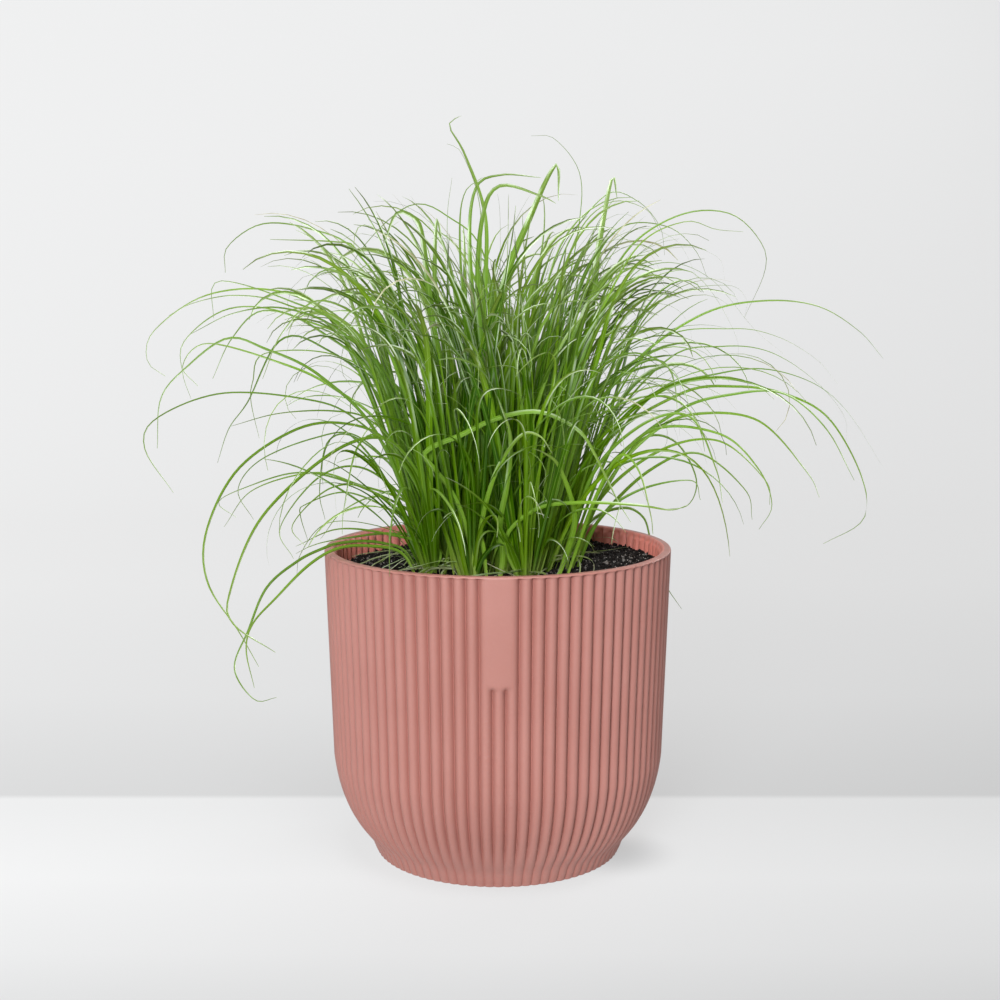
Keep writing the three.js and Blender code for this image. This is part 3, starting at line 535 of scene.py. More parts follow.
def pot_material():
    """Matte plastic with a fine grain, with painted shade in the grooves and a painted lighter, redder tone
    of light on the inner wall.
    """
    n = Nodes("pot_plastic")
    place = n.place()
    cloud = n.noise(place, 26, 3)
    speckle = n.noise(place, 900, 2)
    base = n.palette(cloud, POT_TONES)
    base = n.mix(n.math("MULTIPLY", speckle, 0.14), base, srgb(*POT_SPECKLE))
    axes = n.axes(place)
    radius = n.math("SQRT", n.math("ADD", n.math("POWER", axes["X"], 2.0),
                                   n.math("POWER", axes["Y"], 2.0)))
    # Painted shade: the grooves are darkened and reddened where shade and bounce light would fall
    base = n.mix(groove_painted_shade(n, axes), base, srgb(*POT_GROOVE_SHADE))
    # Painted light: the inner wall above the soil gets a lighter, redder tone in place of the light and
    # bounce it would get
    inside = n.math("LESS_THAN", radius, RIM_RADIUS - 0.75 * RIM_WIDTH)
    high = n.math("GREATER_THAN", axes["Z"], SOIL_HEIGHT - 2 * MM)
    base = n.mix(n.math("MULTIPLY", n.math("MULTIPLY", inside, high), 0.8), base, srgb(*POT_INSIDE_LIGHT))
    rough = n.ramp(n.noise(place, 140, 3), *POT_ROUGHNESS)
    grain = n.bump(n.noise(place, 1400, 2), 0.12, 0.0002)
    n.surface(Base_Color=base, Roughness=rough, Specular_IOR_Level=0.3, Normal=grain)
    n.surface(Subsurface_Weight=0.05, Subsurface_Radius=(0.003, 0.0012, 0.0008))
    return n.material


def soil_material():
    """Dark, crumbly peat, and pale grit where the mesh's tone is high."""
    n = Nodes("soil_grains")
    place = n.place()
    tone = n.attribute("tone")["Fac"]
    crumbs = n.noise(place, 800, 5, 0.65)
    dark = n.palette(crumbs, SOIL_DARK)
    pale = n.palette(n.noise(place, 1500, 2), SOIL_PALE)
    base = n.mix(tone, dark, pale)
    n.surface(Base_Color=base, Roughness=0.85, Specular_IOR_Level=0.15, Normal=n.bump(crumbs, 0.6, 0.0008))
    return n.material


def leaf_material():
    """A leaf that changes along its length, with veins, a midrib, a painted highlight of pale
    streaks on the outer half and light that shines through, or straw where it is dry."""
    n = Nodes("leaf_blade")
    parts = n.add("ShaderNodeSeparateColor", {"Color": n.attribute("leaf")["Color"]}).outputs
    along, tone, across = parts["Red"], parts["Green"], parts["Blue"]
    dryness = n.attribute("dryness")["Fac"]
    place = n.place()
    young = n.palette(along, LEAF_YOUNG)
    old = n.palette(along, LEAF_OLD)
    green = n.mix(tone, old, young)
    green = n.mix(n.math("MULTIPLY", n.noise(place, 120, 3), 0.4), green, srgb(*LEAF_SHADE))
    straw = n.palette(n.noise(place, 300, 3), LEAF_STRAW)
    rib = n.math("LESS_THAN", n.math("ABSOLUTE", n.math("SUBTRACT", across, 0.5)), 0.07)
    green = n.mix(n.math("MULTIPLY", rib, 0.35), green, srgb(*LEAF_MIDRIB))
    # Painted highlight: pale glint streaks along one half of each leaf's outer part
    painted_glint = n.span(n.noise(place, 46, 2), (0.46, 0.6))
    outer = n.span(along, (0.48, 0.82), (0.03, 1.0))
    half = n.math("MULTIPLY", outer, n.math("GREATER_THAN", across, 0.64))
    green = n.mix(n.math("MULTIPLY", painted_glint, half), green, srgb(*LEAF_PAINTED_GLINT))
    under = n.add("ShaderNodeNewGeometry").outputs["Backfacing"]
    green = n.mix(n.math("MULTIPLY", under, 0.22), green, srgb(*LEAF_UNDER))
    colour = n.mix(dryness, green, straw)
    veins = n.math("SINE", n.math("MULTIPLY", across, 44.0))
    normal = n.bump(veins, 0.25, 0.00012)
    n.surface(Base_Color=colour, Roughness=0.32, Normal=normal, Coat_Weight=0.08, Coat_Roughness=0.18)
    n.surface(Specular_IOR_Level=0.24, Specular_Tint=(0.95, 1.0, 0.7, 1.0))
    fresh = n.span(along, (0.45, 0.9), (0.45, 0.2))
    glow = n.mix(fresh, colour, srgb(*LEAF_GLOW))
    n.blend_shader(LEAF_THROUGH, n.add("ShaderNodeBsdfTranslucent", {"Color": glow, "Normal": normal}))
    return n.material


def stage_material():
    """Soft greys by place, with painted light and shade in them, most of them the stage's own glow, so that
    every side is pale.
    """
    n = Nodes("pale_stage")
    place = n.axes(n.add("ShaderNodeNewGeometry").outputs["Position"])
    floor = n.greys(n.span(place["Y"], FLOOR_SPAN), FLOOR_GREYS)
    back = n.greys(n.span(place["Y"], WALL_SPAN), WALL_GREYS)
    step = n.span(place["Y"], (FLOOR_LINE - FLOOR_EDGE, FLOOR_LINE + FLOOR_EDGE))
    tone = n.mix(step, floor, back)
    high = n.span(place["Z"], HIGH_SPAN)
    tone = n.mix(n.math("MULTIPLY", high, HIGH_SHARE), tone, grey(HIGH_GREY))
    # Painted shade: the stage darkens to the right, less so high up
    reach = n.math("ADD", place["Y"], SHADE_FAN)
    aside = n.math("DIVIDE", place["X"], n.math("MAXIMUM", reach, LEAST_FAN))
    amount = n.math("MULTIPLY", n.math("SUBTRACT", 1.0, n.math("MULTIPLY", high, HIGH_SHARE)), SIDE_FADE)
    fade = n.math("SUBTRACT", 1.0, n.math("MULTIPLY", aside, amount))
    fade = n.math("MINIMUM", n.math("MAXIMUM", fade, SIDE_FADE_RANGE[0]), SIDE_FADE_RANGE[1])
    tone = n.darken(tone, fade)
    # Painted shadow: a soft dark spot on the floor beside the pot's foot
    spot = n.add("ShaderNodeVectorMath", {0: n.add("ShaderNodeNewGeometry").outputs["Position"],
                                          1: FOOT_SHADE}, operation="DISTANCE").outputs["Value"]
    shade = n.span(spot, FOOT_SHADE_SPAN, (FOOT_SHADE_TONE, 1.0), interpolation_type="SMOOTHSTEP")
    tone = n.darken(tone, shade)
    grain = n.noise(n.place(), 60, 2)
    rough = n.math("ADD", 0.8, n.math("MULTIPLY", grain, 0.1))
    n.surface(Base_Color=tone, Roughness=rough, Specular_IOR_Level=0.05)
    n.blend_shader(STAGE_GLOW, n.add("ShaderNodeEmission", {"Color": tone, "Strength": 1.0}))
    return n.material


# Mesh helpers

def new_object(name, vertices, faces, material, attributes=None):
    mesh = bpy.data.meshes.new(name)
    mesh.from_pydata(vertices, [], faces)
    for key, (kind, values) in (attributes or {}).items():
        layer = mesh.attributes.new(key, kind, "POINT")
        field = "color" if kind == "FLOAT_COLOR" else "value"
        layer.data.foreach_set(field, values)
    mesh.shade_smooth()
    mesh.materials.append(material)
    thing = bpy.data.objects.new(name, mesh)
    bpy.context.scene.collection.objects.link(thing)
    return thing


def ring_faces(rows, columns):
    """Quads that join rows of points, each row closed on itself."""
    faces = []
    for i in range(rows - 1):
        for j in range(columns):
            k = (j + 1) % columns
            faces.append((i * columns + j, i * columns + k, (i + 1) * columns + k,
                          (i + 1) * columns + j))
    return faces


# Pot

def wall_radius(z):
    return lerp(WALL_FOOT[0], RIM_RADIUS, (z - WALL_FOOT[1]) / (RIM_HEIGHT - WALL_FOOT[1]))


def cavity_radius(z):
    share = (z - CAVITY_WALL[1]) / (RIM_HEIGHT - CAVITY_WALL[1])
    return lerp(CAVITY_WALL[0], RIM_RADIUS - RIM_WIDTH, share)


def bezier(a, b, c, t):
    return tuple(lerp(lerp(p, q, t), lerp(q, r, t), t) for p, q, r in zip(a, b, c))


def even_steps(low, high, steps, first=1):
    """Evenly spaced values up to the high one, from the low one on or from the first step."""
    return [lerp(low, high, i / steps) for i in range(first, steps + 1)]


def outer_profile():
    """The wall's section from the base up to the rim's rounding, as (radius, height)."""
    points = []
    for angle in even_steps(math.radians(-90), 0, FOOT_STEPS, first=0):
        points.append((FOOT_RADIUS - FOOT_ROUNDING * (1 - math.cos(angle)),
                       FOOT_ROUNDING * (1 + math.sin(angle))))
    belly = [bezier(WAIST, BELLY_CONTROL, WALL_FOOT, t) for t in even_steps(0, 1, BELLY_STEPS, first=0)]
    points += [bezier(points[-1], FOOT_CONTROL, FOOT_TOP, t) for t in even_steps(0, 1, FOOT_STEPS)]
    points += [bezier(FOOT_TOP, WAIST, belly[2], t) for t in even_steps(0, 1, WAIST_STEPS)]
    points += belly[3:]
    heights = even_steps(WALL_FOOT[1], PANEL_BOTTOM - 4 * MM, 5)
    heights += [PANEL_BOTTOM + i * PANEL_ROW for i in range(-4, 10)]
    heights += even_steps(PANEL_BOTTOM + 10 * MM, RIM_HEIGHT - LIP_ROWS_BELOW, 5, first=0)
    heights += even_steps(RIM_HEIGHT - LIP_ROWS_BELOW, RIM_HEIGHT - RIM_ROUNDING, 6)
    return points + [(wall_radius(z), z) for z in heights]


def flute_cut(turn, z):
    """Depth of the groove at a place round the pot, in flutes from the front."""
    shape = (2 * abs(turn - round(turn))) ** FLUTE_ROUNDNESS
    shape *= lerp(FOOT_FLUTES, 1.0, smoothstep(*FLUTE_FADE, z))
    from_front = abs(turn - FLUTES * round(turn / FLUTES))
    if from_front < 1.0:
        corner = PANEL_CORNER * from_front ** 4
        shape *= 1 - smoothstep(-PANEL_EDGE, PANEL_EDGE, z - PANEL_BOTTOM - corner)
    shape *= 1 - smoothstep(RIM_HEIGHT - LIP_FADE[0], RIM_HEIGHT - LIP_FADE[1], z)
    return FLUTE_DEPTH * shape


def rib_rise(turn, share=1.0):
    """How far the inner ribs stand in from the wall, the share fading them out."""
    shape = 1 - (2 * abs(turn - round(turn))) ** RIB_ROUNDNESS
    return share * (RIB_DEPTH * shape - RIB_SINK)


def rim_rows(turns):
    """Radii and heights over the rim: its outer rounding, then its inner one."""
    rows = []
    for i in range(1, RIM_STEPS + 1):
        angle = math.radians(lerp(0, 90, i / RIM_STEPS))
        r = RIM_RADIUS - RIM_ROUNDING * (1 - math.cos(angle))
        z = RIM_HEIGHT - RIM_ROUNDING * (1 - math.sin(angle))
        rows.append([(r - flute_cut(turn, z) * (1 - math.sin(angle)), z) for turn in turns])
    for i in range(RIM_STEPS + 1):
        angle = math.radians(lerp(90, 180, i / RIM_STEPS))
        r = RIM_RADIUS - RIM_WIDTH + RIM_ROUNDING * (1 + math.cos(angle))
        z = RIM_HEIGHT - RIM_ROUNDING * (1 - math.sin(angle))
        rows.append([(r - rib_rise(turn, RIM_RIBS * (1 - math.sin(angle))), z) for turn in turns])
    return rows


def inner_rows(turns):
    """Radii and heights down the inner wall, with its ribs, to the cavity's floor."""
    rows = []
    rib_top = RIM_HEIGHT - RIM_ROUNDING
    for i in range(1, RIM_STEPS + 1):
        z = rib_top - RIB_FADE_ROWS * i / RIM_STEPS
        share = RIM_RIBS + (1 - RIM_RIBS) * smoothstep(0.0, RIB_FADE, rib_top - z)
        rows.append([(cavity_radius(z) - rib_rise(turn, share), z) for turn in turns])
    for z in (SOIL_HEIGHT + 4 * MM, SOIL_HEIGHT, SOIL_SHOULDER):
        rows.append([(cavity_radius(z) - rib_rise(turn), z) for turn in turns])
    rows.append([CAVITY_WALL] * len(turns))
    rows.append([CAVITY_FLOOR] * len(turns))
    return rows


def make_pot(material):
    columns = len(FLUTE_PHASES) * FLUTES
    turns = [flute + phase for flute in range(FLUTES) for phase in FLUTE_PHASES]
    rows = [[(r - flute_cut(turn, z), z) for turn in turns] for r, z in outer_profile()]
    rows += rim_rows(turns) + inner_rows(turns)
    vertices = []
    for row in rows:
        for turn, (r, z) in zip(turns, row):
            angle = turn * 2 * math.pi / FLUTES + FLUTE_TURN
            vertices.append((r * math.sin(angle), -r * math.cos(angle), z))
    faces = ring_faces(len(rows), columns)
    last = len(rows) - 1
    for row, centre, flip in ((0, (0, 0, 0), True), (last, (0, 0, CAVITY_FLOOR[1]), False)):
        middle = len(vertices)
        vertices.append(centre)
        for j in range(columns):
            pair = (row * columns + j, row * columns + (j + 1) % columns)
            faces.append((middle, *(reversed(pair) if flip else pair)))
    return new_object("fluted_pot", vertices, faces, material)


# Soil

def soil_top(x, y):
    """The soil's height: rough, and rising a little to the right."""
    place = Vector((x, y, 0.0))
    waves = noise.fractal(place * 90, 0.8, 2.1, 4)
    crumbs = noise.noise(place * 520)
    return SOIL_HEIGHT + SOIL_RISE + SOIL_SLOPE * x + SOIL_RELIEF * (0.75 * waves + 0.35 * crumbs)


def grain_template():
    mesh = bmesh.new()
    bmesh.ops.create_icosphere(mesh, subdivisions=1, radius=1.0)
    mesh.verts.index_update()
    points = [v.co.copy() for v in mesh.verts]
    sides = [tuple(v.index for v in face.verts) for face in mesh.faces]
    mesh.free()
    return points, sides


def add_grain(vertices, faces, tones, template, centre, size, draw, tone):
    points, sides = template
    stretch = [size * draw(*GRAIN_STRETCH) for _ in range(3)]
    turn = Quaternion((draw(-1, 1), draw(-1, 1), draw(-1, 1)), draw(0, 3)).to_matrix()
    base = len(vertices)
    for point in points:
        bumpy = draw(*GRAIN_BUMPS)
        local = Vector([c * s * bumpy for c, s in zip(point, stretch)])
        vertices.append(centre + turn @ local)
        tones.append(tone * draw(0.7, 1.0))
    for side in sides:
        faces.append(tuple(base + i for i in side))


def soil_body():
    """The soil's closed body: rings over the top from its edge in, and rings down its side."""
    vertices = []
    turns = [2 * math.pi * j / SOIL_COLUMNS for j in range(SOIL_COLUMNS)]
    for i in range(SOIL_RINGS + 1):
        r = SOIL_RADIUS * (1 - i / SOIL_RINGS) + SOIL_EYE
        for angle in turns:
            x, y = r * math.cos(angle), r * math.sin(angle)
            vertices.append((x, y, soil_top(x, y)))
    side = [(CAVITY_WALL[0] + 0.5 * MM, SOIL_SHOULDER),
            (CAVITY_WALL[0] - SOIL_GAP, CAVITY_WALL[1]),
            (CAVITY_FLOOR[0] - SOIL_GAP, CAVITY_FLOOR[1] + SOIL_GAP),
            (SOIL_EYE, CAVITY_FLOOR[1] + SOIL_GAP)]
    faces = ring_faces(SOIL_RINGS + 1, SOIL_COLUMNS)
    start = len(vertices)
    for r, z in side:
        vertices += [(r * math.cos(angle), r * math.sin(angle), z) for angle in turns]
    for j in range(SOIL_COLUMNS):
        k = (j + 1) % SOIL_COLUMNS
        faces.append((k, j, start + j, start + k))
    for i in range(len(side) - 1):
        a, b = start + i * SOIL_COLUMNS, start + (i + 1) * SOIL_COLUMNS
        for j in range(SOIL_COLUMNS):
            k = (j + 1) % SOIL_COLUMNS
            faces.append((a + k, a + j, b + j, b + k))
    return vertices, faces


def make_soil(material):
    vertices, faces = soil_body()
    tones = [0.0] * len(vertices)
    draw = Draw(GRAIN_SEED)
    template = grain_template()
    for _ in range(GRAINS):
        r = (SOIL_RADIUS - GRAIN_EDGE) * math.sqrt(draw(*GRAIN_AREA))
        angle = draw(0, 2 * math.pi)
        x, y = r * math.cos(angle), r * math.sin(angle)
        size = lerp(*GRAIN_SIZE, draw() ** GRAIN_SIZE_POWER) * MM
        kind = draw()
        tone = 0.0
        if kind > PALE_FROM:
            tone = draw(*PALE_TONE)
            size = draw(*PALE_SIZE) * MM
        elif kind > BROWN_FROM:
            tone = draw(*BROWN_TONE)
        centre = Vector((x, y, soil_top(x, y) + size * draw(*GRAIN_RISE)))
        add_grain(vertices, faces, tones, template, centre, size, draw, tone)
    return new_object("potting_soil", vertices, faces, material, {"tone": ("FLOAT", tones)})


# Leaves

def tuft_centre(k):
    radius = TUFT_SPACING * math.sqrt(k + 0.4)
    return Vector((radius * math.cos(k * GOLDEN_ANGLE), radius * math.sin(k * GOLDEN_ANGLE)))


TUFT_CENTRES = [tuft_centre(k) for k in range(TUFTS)]


def arch_path(root, azimuth, length, bend, sway):
    """A path that starts at a lean, bends over more and more, and wavers towards its tip."""
    path = [root]
    step = length / PATH_STEPS
    for i in range(PATH_STEPS):
        s = (i + 0.5) / PATH_STEPS
        tilt = (bend["lean"] + bend["droop"] * s ** bend["power"]
                + bend["curl"] * max(0.0, s - CURL_FROM) ** 2 * CURL_GAIN)
        tilt += sway["tilt"] * s * math.sin(sway["rate"] * s + sway["phase"])
        heading = azimuth + bend["drift"] * s * s
        heading += sway["turn"] * s * math.sin(sway["turn_rate"] * s + sway["turn_phase"])
        ahead = Vector((math.sin(tilt) * math.cos(heading), math.sin(tilt) * math.sin(heading),
                        math.cos(tilt)))
        path.append(path[-1] + step * ahead)
    return path


def rule_blade(k, seed, kinds, crown_reach, spread):
    """One leaf by rule, from tuft k: its path, width, side, roll, taper and the draw to go on with."""
    draw = Draw(seed)
    centre = TUFT_CENTRES[k]
    edge = centre.length / OUTER_TUFT
    outward = math.atan2(centre.y, centre.x)
    azimuth = outward + draw(-1, 1) * lerp(math.pi, spread, min(1, edge * 1.2))
    reach = crown_reach * math.sqrt(draw(0.05, 1))
    pick = draw()
    for kind in kinds:
        pick -= kind["share"]
        if pick < 0:
            break
    lean = draw(*kind["lean"]) + edge * draw(*kind["edge_lean"])
    length = draw(*kind["length"])
    droop = draw(*kind["droop"])
    power = draw(*kind["power"])
    width = draw(*kind["width"])
    forward = max(0, -math.sin(azimuth) - 0.5) / 0.5
    sideways = abs(math.cos(azimuth))
    bend = {"lean": math.radians(lean), "droop": math.radians(droop), "power": power,
            "drift": math.radians(draw(-1, 1) * kind["drift"])}
    roll = draw(-0.6, 0.6)
    bend["curl"] = math.radians(draw(*kind["curl"]))
    sway = {"tilt": math.radians(draw(*kind["sway"])), "rate": draw(*WAVES), "phase": draw(*PHASES),
            "turn": math.radians(draw(*kind["sway"]) * TURN_SWAY), "turn_rate": draw(*WAVES),
            "turn_phase": draw(*PHASES)}
    root = Vector((centre.x + reach * math.cos(azimuth), centre.y + reach * math.sin(azimuth),
                   SOIL_HEIGHT / MM - ROOT_DEPTH))
    length *= 1 - FORWARD_SHORTENING * forward
    length = length * (1 - SIDEWAYS_SHORTENING * sideways) + ROOT_DEPTH + CROWN_RISE
    path = arch_path(root, azimuth, length, bend, sway)
    across = Vector((-math.sin(azimuth), math.cos(azimuth), 0))
    return path, width, across, roll, draw(*kind["taper"]), draw


def dead_strand(k, seed):
    """A thin dead leaf that lies over the soil beside tuft k."""
    draw = Draw(seed)
    centre = TUFT_CENTRES[k]
    outward = math.atan2(centre.y, centre.x) + draw(-DEAD["aside"], DEAD["aside"])
    turn, wave = draw(-DEAD["turn"], DEAD["turn"]), draw(*PHASES)
    length, rise = draw(*DEAD["length"]), draw(*DEAD["rise"])
    point = centre + Vector((math.cos(outward), math.sin(outward))) * draw(*DEAD["start"])
    path = []
    for i in range(DEAD_STEPS + 1):
        s = i / DEAD_STEPS
        ground = soil_top(point.x * MM, point.y * MM) / MM
        lift = rise * math.sin(math.pi * min(1, 0.12 + s)) if s < 0.88 else 0.0
        path.append(Vector((point.x, point.y, ground + DEAD_ABOVE + lift)))
        heading = outward + turn * s + 0.35 * math.sin(5 * s + wave)
        point = point + Vector((math.cos(heading), math.sin(heading))) * (length / DEAD_STEPS)
        if point.length > SOIL_RADIUS / MM - DEAD_EDGE:
            break
    return path, draw(*DEAD["width"]), draw


def catmull_rom(points, count):
    """Even points along a smooth curve through the given ones."""
    padded = [2 * points[0] - points[1], *points, 2 * points[-1] - points[-2]]
    dense = []
    for i in range(1, len(padded) - 2):
        a, b, c, d = padded[i - 1:i + 3]
        for j in range(SPLINE_STEPS):
            t = j / SPLINE_STEPS
            dense.append(0.5 * (2 * b + (c - a) * t + (2 * a - 5 * b + 4 * c - d) * t * t
                                + (3 * b - a - 3 * c + d) * t ** 3))
    dense.append(points[-1])
    lengths = [0.0]
    for p, q in zip(dense, dense[1:]):
        lengths.append(lengths[-1] + (q - p).length)
    even, i = [], 0
    for j in range(count + 1):
        target = lengths[-1] * j / count
        while i < len(dense) - 2 and lengths[i + 1] < target:
            i += 1
        span = max(lengths[i + 1] - lengths[i], 1e-9)
        even.append(dense[i].lerp(dense[i + 1], min(1.0, (target - lengths[i]) / span)))
    return even


def nearest_tuft(x, y):
    return min(range(TUFTS), key=lambda k: (TUFT_CENTRES[k] - Vector((x, y))).length)


def traced_path(root, tip_depth, outline):
    """A traced leaf's path: each point goes to its own depth, and outwards or inwards from the
    eye's axis by as much as the perspective had drawn it in or out."""
    front = [(root[0], SOIL_HEIGHT / MM - ROOT_DEPTH), *outline]
    lengths = [0.0]
    for (x0, z0), (x1, z1) in zip(front, front[1:]):
        lengths.append(lengths[-1] + math.hypot(x1 - x0, z1 - z0))
    points = []
    for i, (x, z) in enumerate(front):
        depth = root[1] + (tip_depth - root[1]) * (lengths[i] / lengths[-1]) ** DEPTH_POWER
        if i == 0:
            points.append(Vector((x, depth, z)))
            continue
        scale = (EYE_DISTANCE + depth) / EYE_DISTANCE
        points.append(Vector((x * scale, depth, EYE_HEIGHT + (z - EYE_HEIGHT) * scale)))
    return catmull_rom(points, TRACED_STEPS)


class Leaves:
    """Collects the ribbons of one tuft and makes them one piece."""

    def __init__(self):
        self.vertices, self.faces = [], []
        self.leaf, self.dryness = [], []

    def add(self, path, width, across, roll, twist, tone, taper=1.0, fullness=FULLNESS, dry_from=2.0,
            dry=0.0):
        """A folded ribbon along a path in millimetres that thins out to a hair."""
        steps = len(path) - 1
        base = len(self.vertices)
        for i, point in enumerate(path):
            s = i / steps
            tangent = (path[min(i + 1, steps)] - path[max(i - 1, 0)]).normalized()
            side = (across - tangent * across.dot(tangent)).normalized()
            side = Quaternion(tangent, roll + twist * s) @ side
            up = side.cross(tangent)
            opening = min(BASE_WIDTH + BASE_OPENING * s, 1)
            w = 0.5 * (width * opening * max(0.0, 1 - s ** fullness) ** taper + HAIR)
            lift = FOLD * w * (1 - 0.5 * s)
            edges = (side * -w + up * lift, Vector(), Vector(), side * w + up * lift)
            for cross, offset in zip(ACROSS, edges):
                self.vertices.append((point + offset) * MM)
                self.leaf += (s, tone, cross, 1.0)
                self.dryness.append(max(dry, smoothstep(dry_from, dry_from + DRY_FADE, s)))
        for i in range(steps):
            for a in (base + 4 * i, base + 4 * i + 2):
                self.faces.append((a, a + 1, a + 5, a + 4))

    def make(self, name, material):
        low, high = cad_box
        edge = BOX_MARGIN / 4
        for vertex in self.vertices:
            for axis in range(3):
                vertex[axis] = min(max(vertex[axis], low[axis] + edge), high[axis] - edge)
        return new_object(name, self.vertices, self.faces, material,
                          {"leaf": ("FLOAT_COLOR", self.leaf), "dryness": ("FLOAT", self.dryness)})


def inside_box(path):
    low, high = cad_box
    for point in path:
        for axis in range(3):
            value = point[axis] * MM
            if value < low[axis] + BOX_MARGIN or value > high[axis] - BOX_MARGIN:
                return False
    return True


def clear_of_pot(path):
    """Keeps leaves out of the pot's wall and the soil, and off the pot's front."""
    rim, top = RIM_RADIUS / MM, RIM_HEIGHT / MM
    for i, point in enumerate(path):
        radius = math.hypot(point.x, point.y)
        if rim - WALL_INSIDE < radius < rim + WALL_OUTSIDE and point.z < top + RIM_ABOVE:
            return False
        if i > ROOT_STEPS and radius < rim and point.z < SOIL_HEIGHT / MM + SOIL_ABOVE:
            return False
        if point.y < FRONT_FROM and abs(point.x) < rim and point.z < top + FRONT_ABOVE:
            return False
    return True


def in_clump(path, width):
    """Whether a leaf stays within the clump's own shape, which widens upwards."""
    reach = CLUMP_REACH + (HAIR_REACH if width < HAIR_WIDTH else 0.0)
    for point in path:
        rise = point.z - SOIL_HEIGHT / MM
        if rise > CLUMP_HEIGHT or math.hypot(point.x, point.y) > reach + CLUMP_FLARE * rise:
            return False
    return True


def add_traced(tufts):
    """The leaves that were traced, each in the tuft nearest to its root."""
    for i, (root, tip_depth, width, outline) in enumerate(TRACED):
        draw = Draw(TRACED_SEED + i)
        path = traced_path(root, tip_depth, outline)
        top = max(z for _, z in outline)
        tip_x, tip_z = outline[-1]
        roll, twist = draw(0.5, 1.1), draw(-0.5, 0.5)
        fullness, taper, tone = 1.8, draw(0.85, 1.15), draw(0.1, 0.9)
        if tip_z > MIDDLE_HEIGHT and width > MIDDLE_WIDTH and abs(tip_x) < MIDDLE_REACH:
            fullness = 7.0 if top < BENT_BELOW and top > tip_z + BENT_BY else 2.2
            roll, twist = draw(1.1, 1.5), draw(-0.2, 0.4)
            taper, tone = draw(0.7, 1.0), draw(0.0, 0.5)
        elif root[1] < FRONT_ROOT:
            fullness, roll, tone = 3.5, draw(0.9, 1.3), draw(0.7, 1.0)
        else:
            width = lerp(THIN_WIDTH, width, 0.5)
        tufts[nearest_tuft(*root)].add(path, min(width, WIDEST_TRACED), Vector((0, 1, 0)), roll, twist,
                                       tone, taper, fullness)


def add_by_rule(k, leaves):
    """The leaves that tuft k has by rule: main ones, then fine ones that keep to the clump."""
    blades = [(1000 * k + i, MAIN_KINDS, *MAIN_CROWN) for i in range(MAIN_BLADES)]
    blades += [(1000 * k + 500 + i, FINE_KINDS, *FINE_CROWN) for i in range(FINE_BLADES)]
    for seed, kinds, crown_reach, spread in blades:
        path, width, across, roll, taper, draw = rule_blade(k, seed, kinds, crown_reach, spread)
        if not inside_box(path) or not clear_of_pot(path):
            continue
        if kinds is FINE_KINDS and draw() > STRAYS and not in_clump(path, width):
            continue
        dry_from = draw(0.7, 0.95) if draw() < DRY_TIPS else 2.0
        tone = draw(0.3, 1) if width < HAIR_WIDTH else draw() ** 1.6
        leaves.add(path, width, across, roll, draw(-1.6, 1.6), tone, taper, dry_from=dry_from)


def add_dead(k, leaves):
    """The dead strands of tuft k, without those that the soil's edge cuts short."""
    for i in range(DEAD_STRANDS):
        path, width, draw = dead_strand(k, 1000 * k + 900 + i)
        if len(path) > DEAD_LEAST:
            roll, twist = draw(*DEAD["roll"]), draw(-DEAD["twist"], DEAD["twist"])
            leaves.add(path, width, Vector((0, 0, 1)), roll, twist, draw(), DEAD["taper"],
                       dry=draw(*DEAD["dry"]))


def grow_leaves(material):
    tufts = [Leaves() for _ in range(TUFTS)]
    add_traced(tufts)
    for k, leaves in enumerate(tufts):
        add_by_rule(k, leaves)
        if TUFT_CENTRES[k].length > DEAD_FROM:
            add_dead(k, leaves)
    for k, leaves in enumerate(tufts):
        piece = leaves.make(f"leaves_{k + 1:02d}", material)
        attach(piece, "root")
        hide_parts(f"tuft_{k + 1:02d}")


# Stage, light and camera

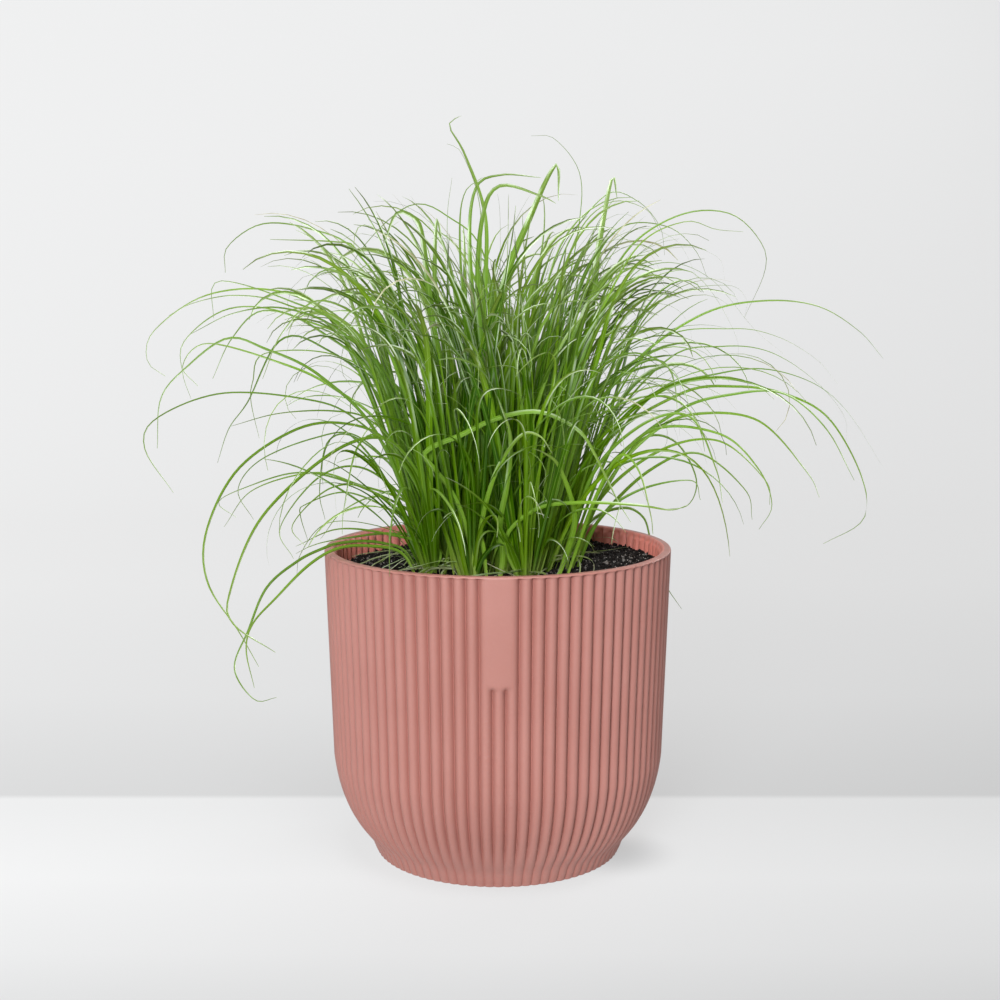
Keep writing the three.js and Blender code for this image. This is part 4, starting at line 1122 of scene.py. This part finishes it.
def make_stage(material):
    """A floor that bends up into a wall, with low walls at its front and sides."""
    outline = [(STAGE_FRONT, STAGE_LOW_WALL), (STAGE_FRONT, 0.0)]
    outline += [(y, 0.0) for y in FLOOR_ROWS]
    for i in range(STAGE_BEND_STEPS + 1):
        angle = math.radians(90 * i / STAGE_BEND_STEPS)
        outline.append((WALL_Y - STAGE_BEND * (1 - math.sin(angle)), STAGE_BEND * (1 - math.cos(angle))))
    outline.append((WALL_Y, WALL_TOP))
    vertices = [(x, y, z) for y, z in outline for x in (-STAGE_SIDE, STAGE_SIDE)]
    faces = [(2 * i, 2 * i + 1, 2 * i + 3, 2 * i + 2) for i in range(len(outline) - 1)]
    for x in (-STAGE_SIDE, STAGE_SIDE):
        start = len(vertices)
        vertices += [(x, STAGE_FRONT, 0.0), (x, WALL_Y, 0.0),
                     (x, WALL_Y, STAGE_LOW_WALL), (x, STAGE_FRONT, STAGE_LOW_WALL)]
        faces.append((start, start + 1, start + 2, start + 3))
    stage = new_object("floor_and_wall", vertices, faces, material)


def add_light(name, place, size, power, tint):
    data = bpy.data.lights.new(name, "AREA")
    data.shape = "DISK"
    data.size = size
    data.energy = power
    data.color = tint
    light = bpy.data.objects.new(name, data)
    light.location = place
    light.rotation_euler = (Vector(LIGHT_TARGET) - Vector(place)).to_track_quat("-Z", "Y").to_euler()
    bpy.context.scene.collection.objects.link(light)


def make_lights():
    """Three soft lights, and a dim room that is cooler and brighter on the left."""
    for light in LIGHTS:
        add_light(*light)
    world = bpy.data.worlds.new("studio")
    world.use_nodes = True
    nodes, links = world.node_tree.nodes, world.node_tree.links
    direction = nodes.new("ShaderNodeTexCoord")
    axes = nodes.new("ShaderNodeSeparateXYZ")
    share = nodes.new("ShaderNodeMapRange")
    share.inputs["From Min"].default_value = -1.0
    fade = nodes.new("ShaderNodeValToRGB")
    fade.color_ramp.elements[0].color = WORLD_LEFT
    fade.color_ramp.elements[1].color = WORLD_RIGHT
    links.new(direction.outputs["Generated"], axes.inputs[0])
    links.new(axes.outputs["X"], share.inputs["Value"])
    links.new(share.outputs["Result"], fade.inputs["Fac"])
    links.new(fade.outputs["Color"], nodes["Background"].inputs["Color"])
    nodes["Background"].inputs["Strength"].default_value = 1.0
    bpy.context.scene.world = world


def make_camera():
    data = bpy.data.cameras.new("camera")
    data.lens = LENS
    data.sensor_width = SENSOR
    data.clip_start = NEAREST_VIEW
    camera = bpy.data.objects.new("camera", data)
    camera.location = EYE
    camera.rotation_euler = (EYE_TILT, 0, 0)
    bpy.context.scene.collection.objects.link(camera)
    bpy.context.scene.camera = camera


make_camera()
make_lights()
make_stage(stage_material())
bpy.context.scene.view_settings.view_transform = "Standard"

pot = make_pot(pot_material())
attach(pot, "root")
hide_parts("pot")

soil = make_soil(soil_material())
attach(soil, "root")
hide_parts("soil")

grow_leaves(leaf_material())
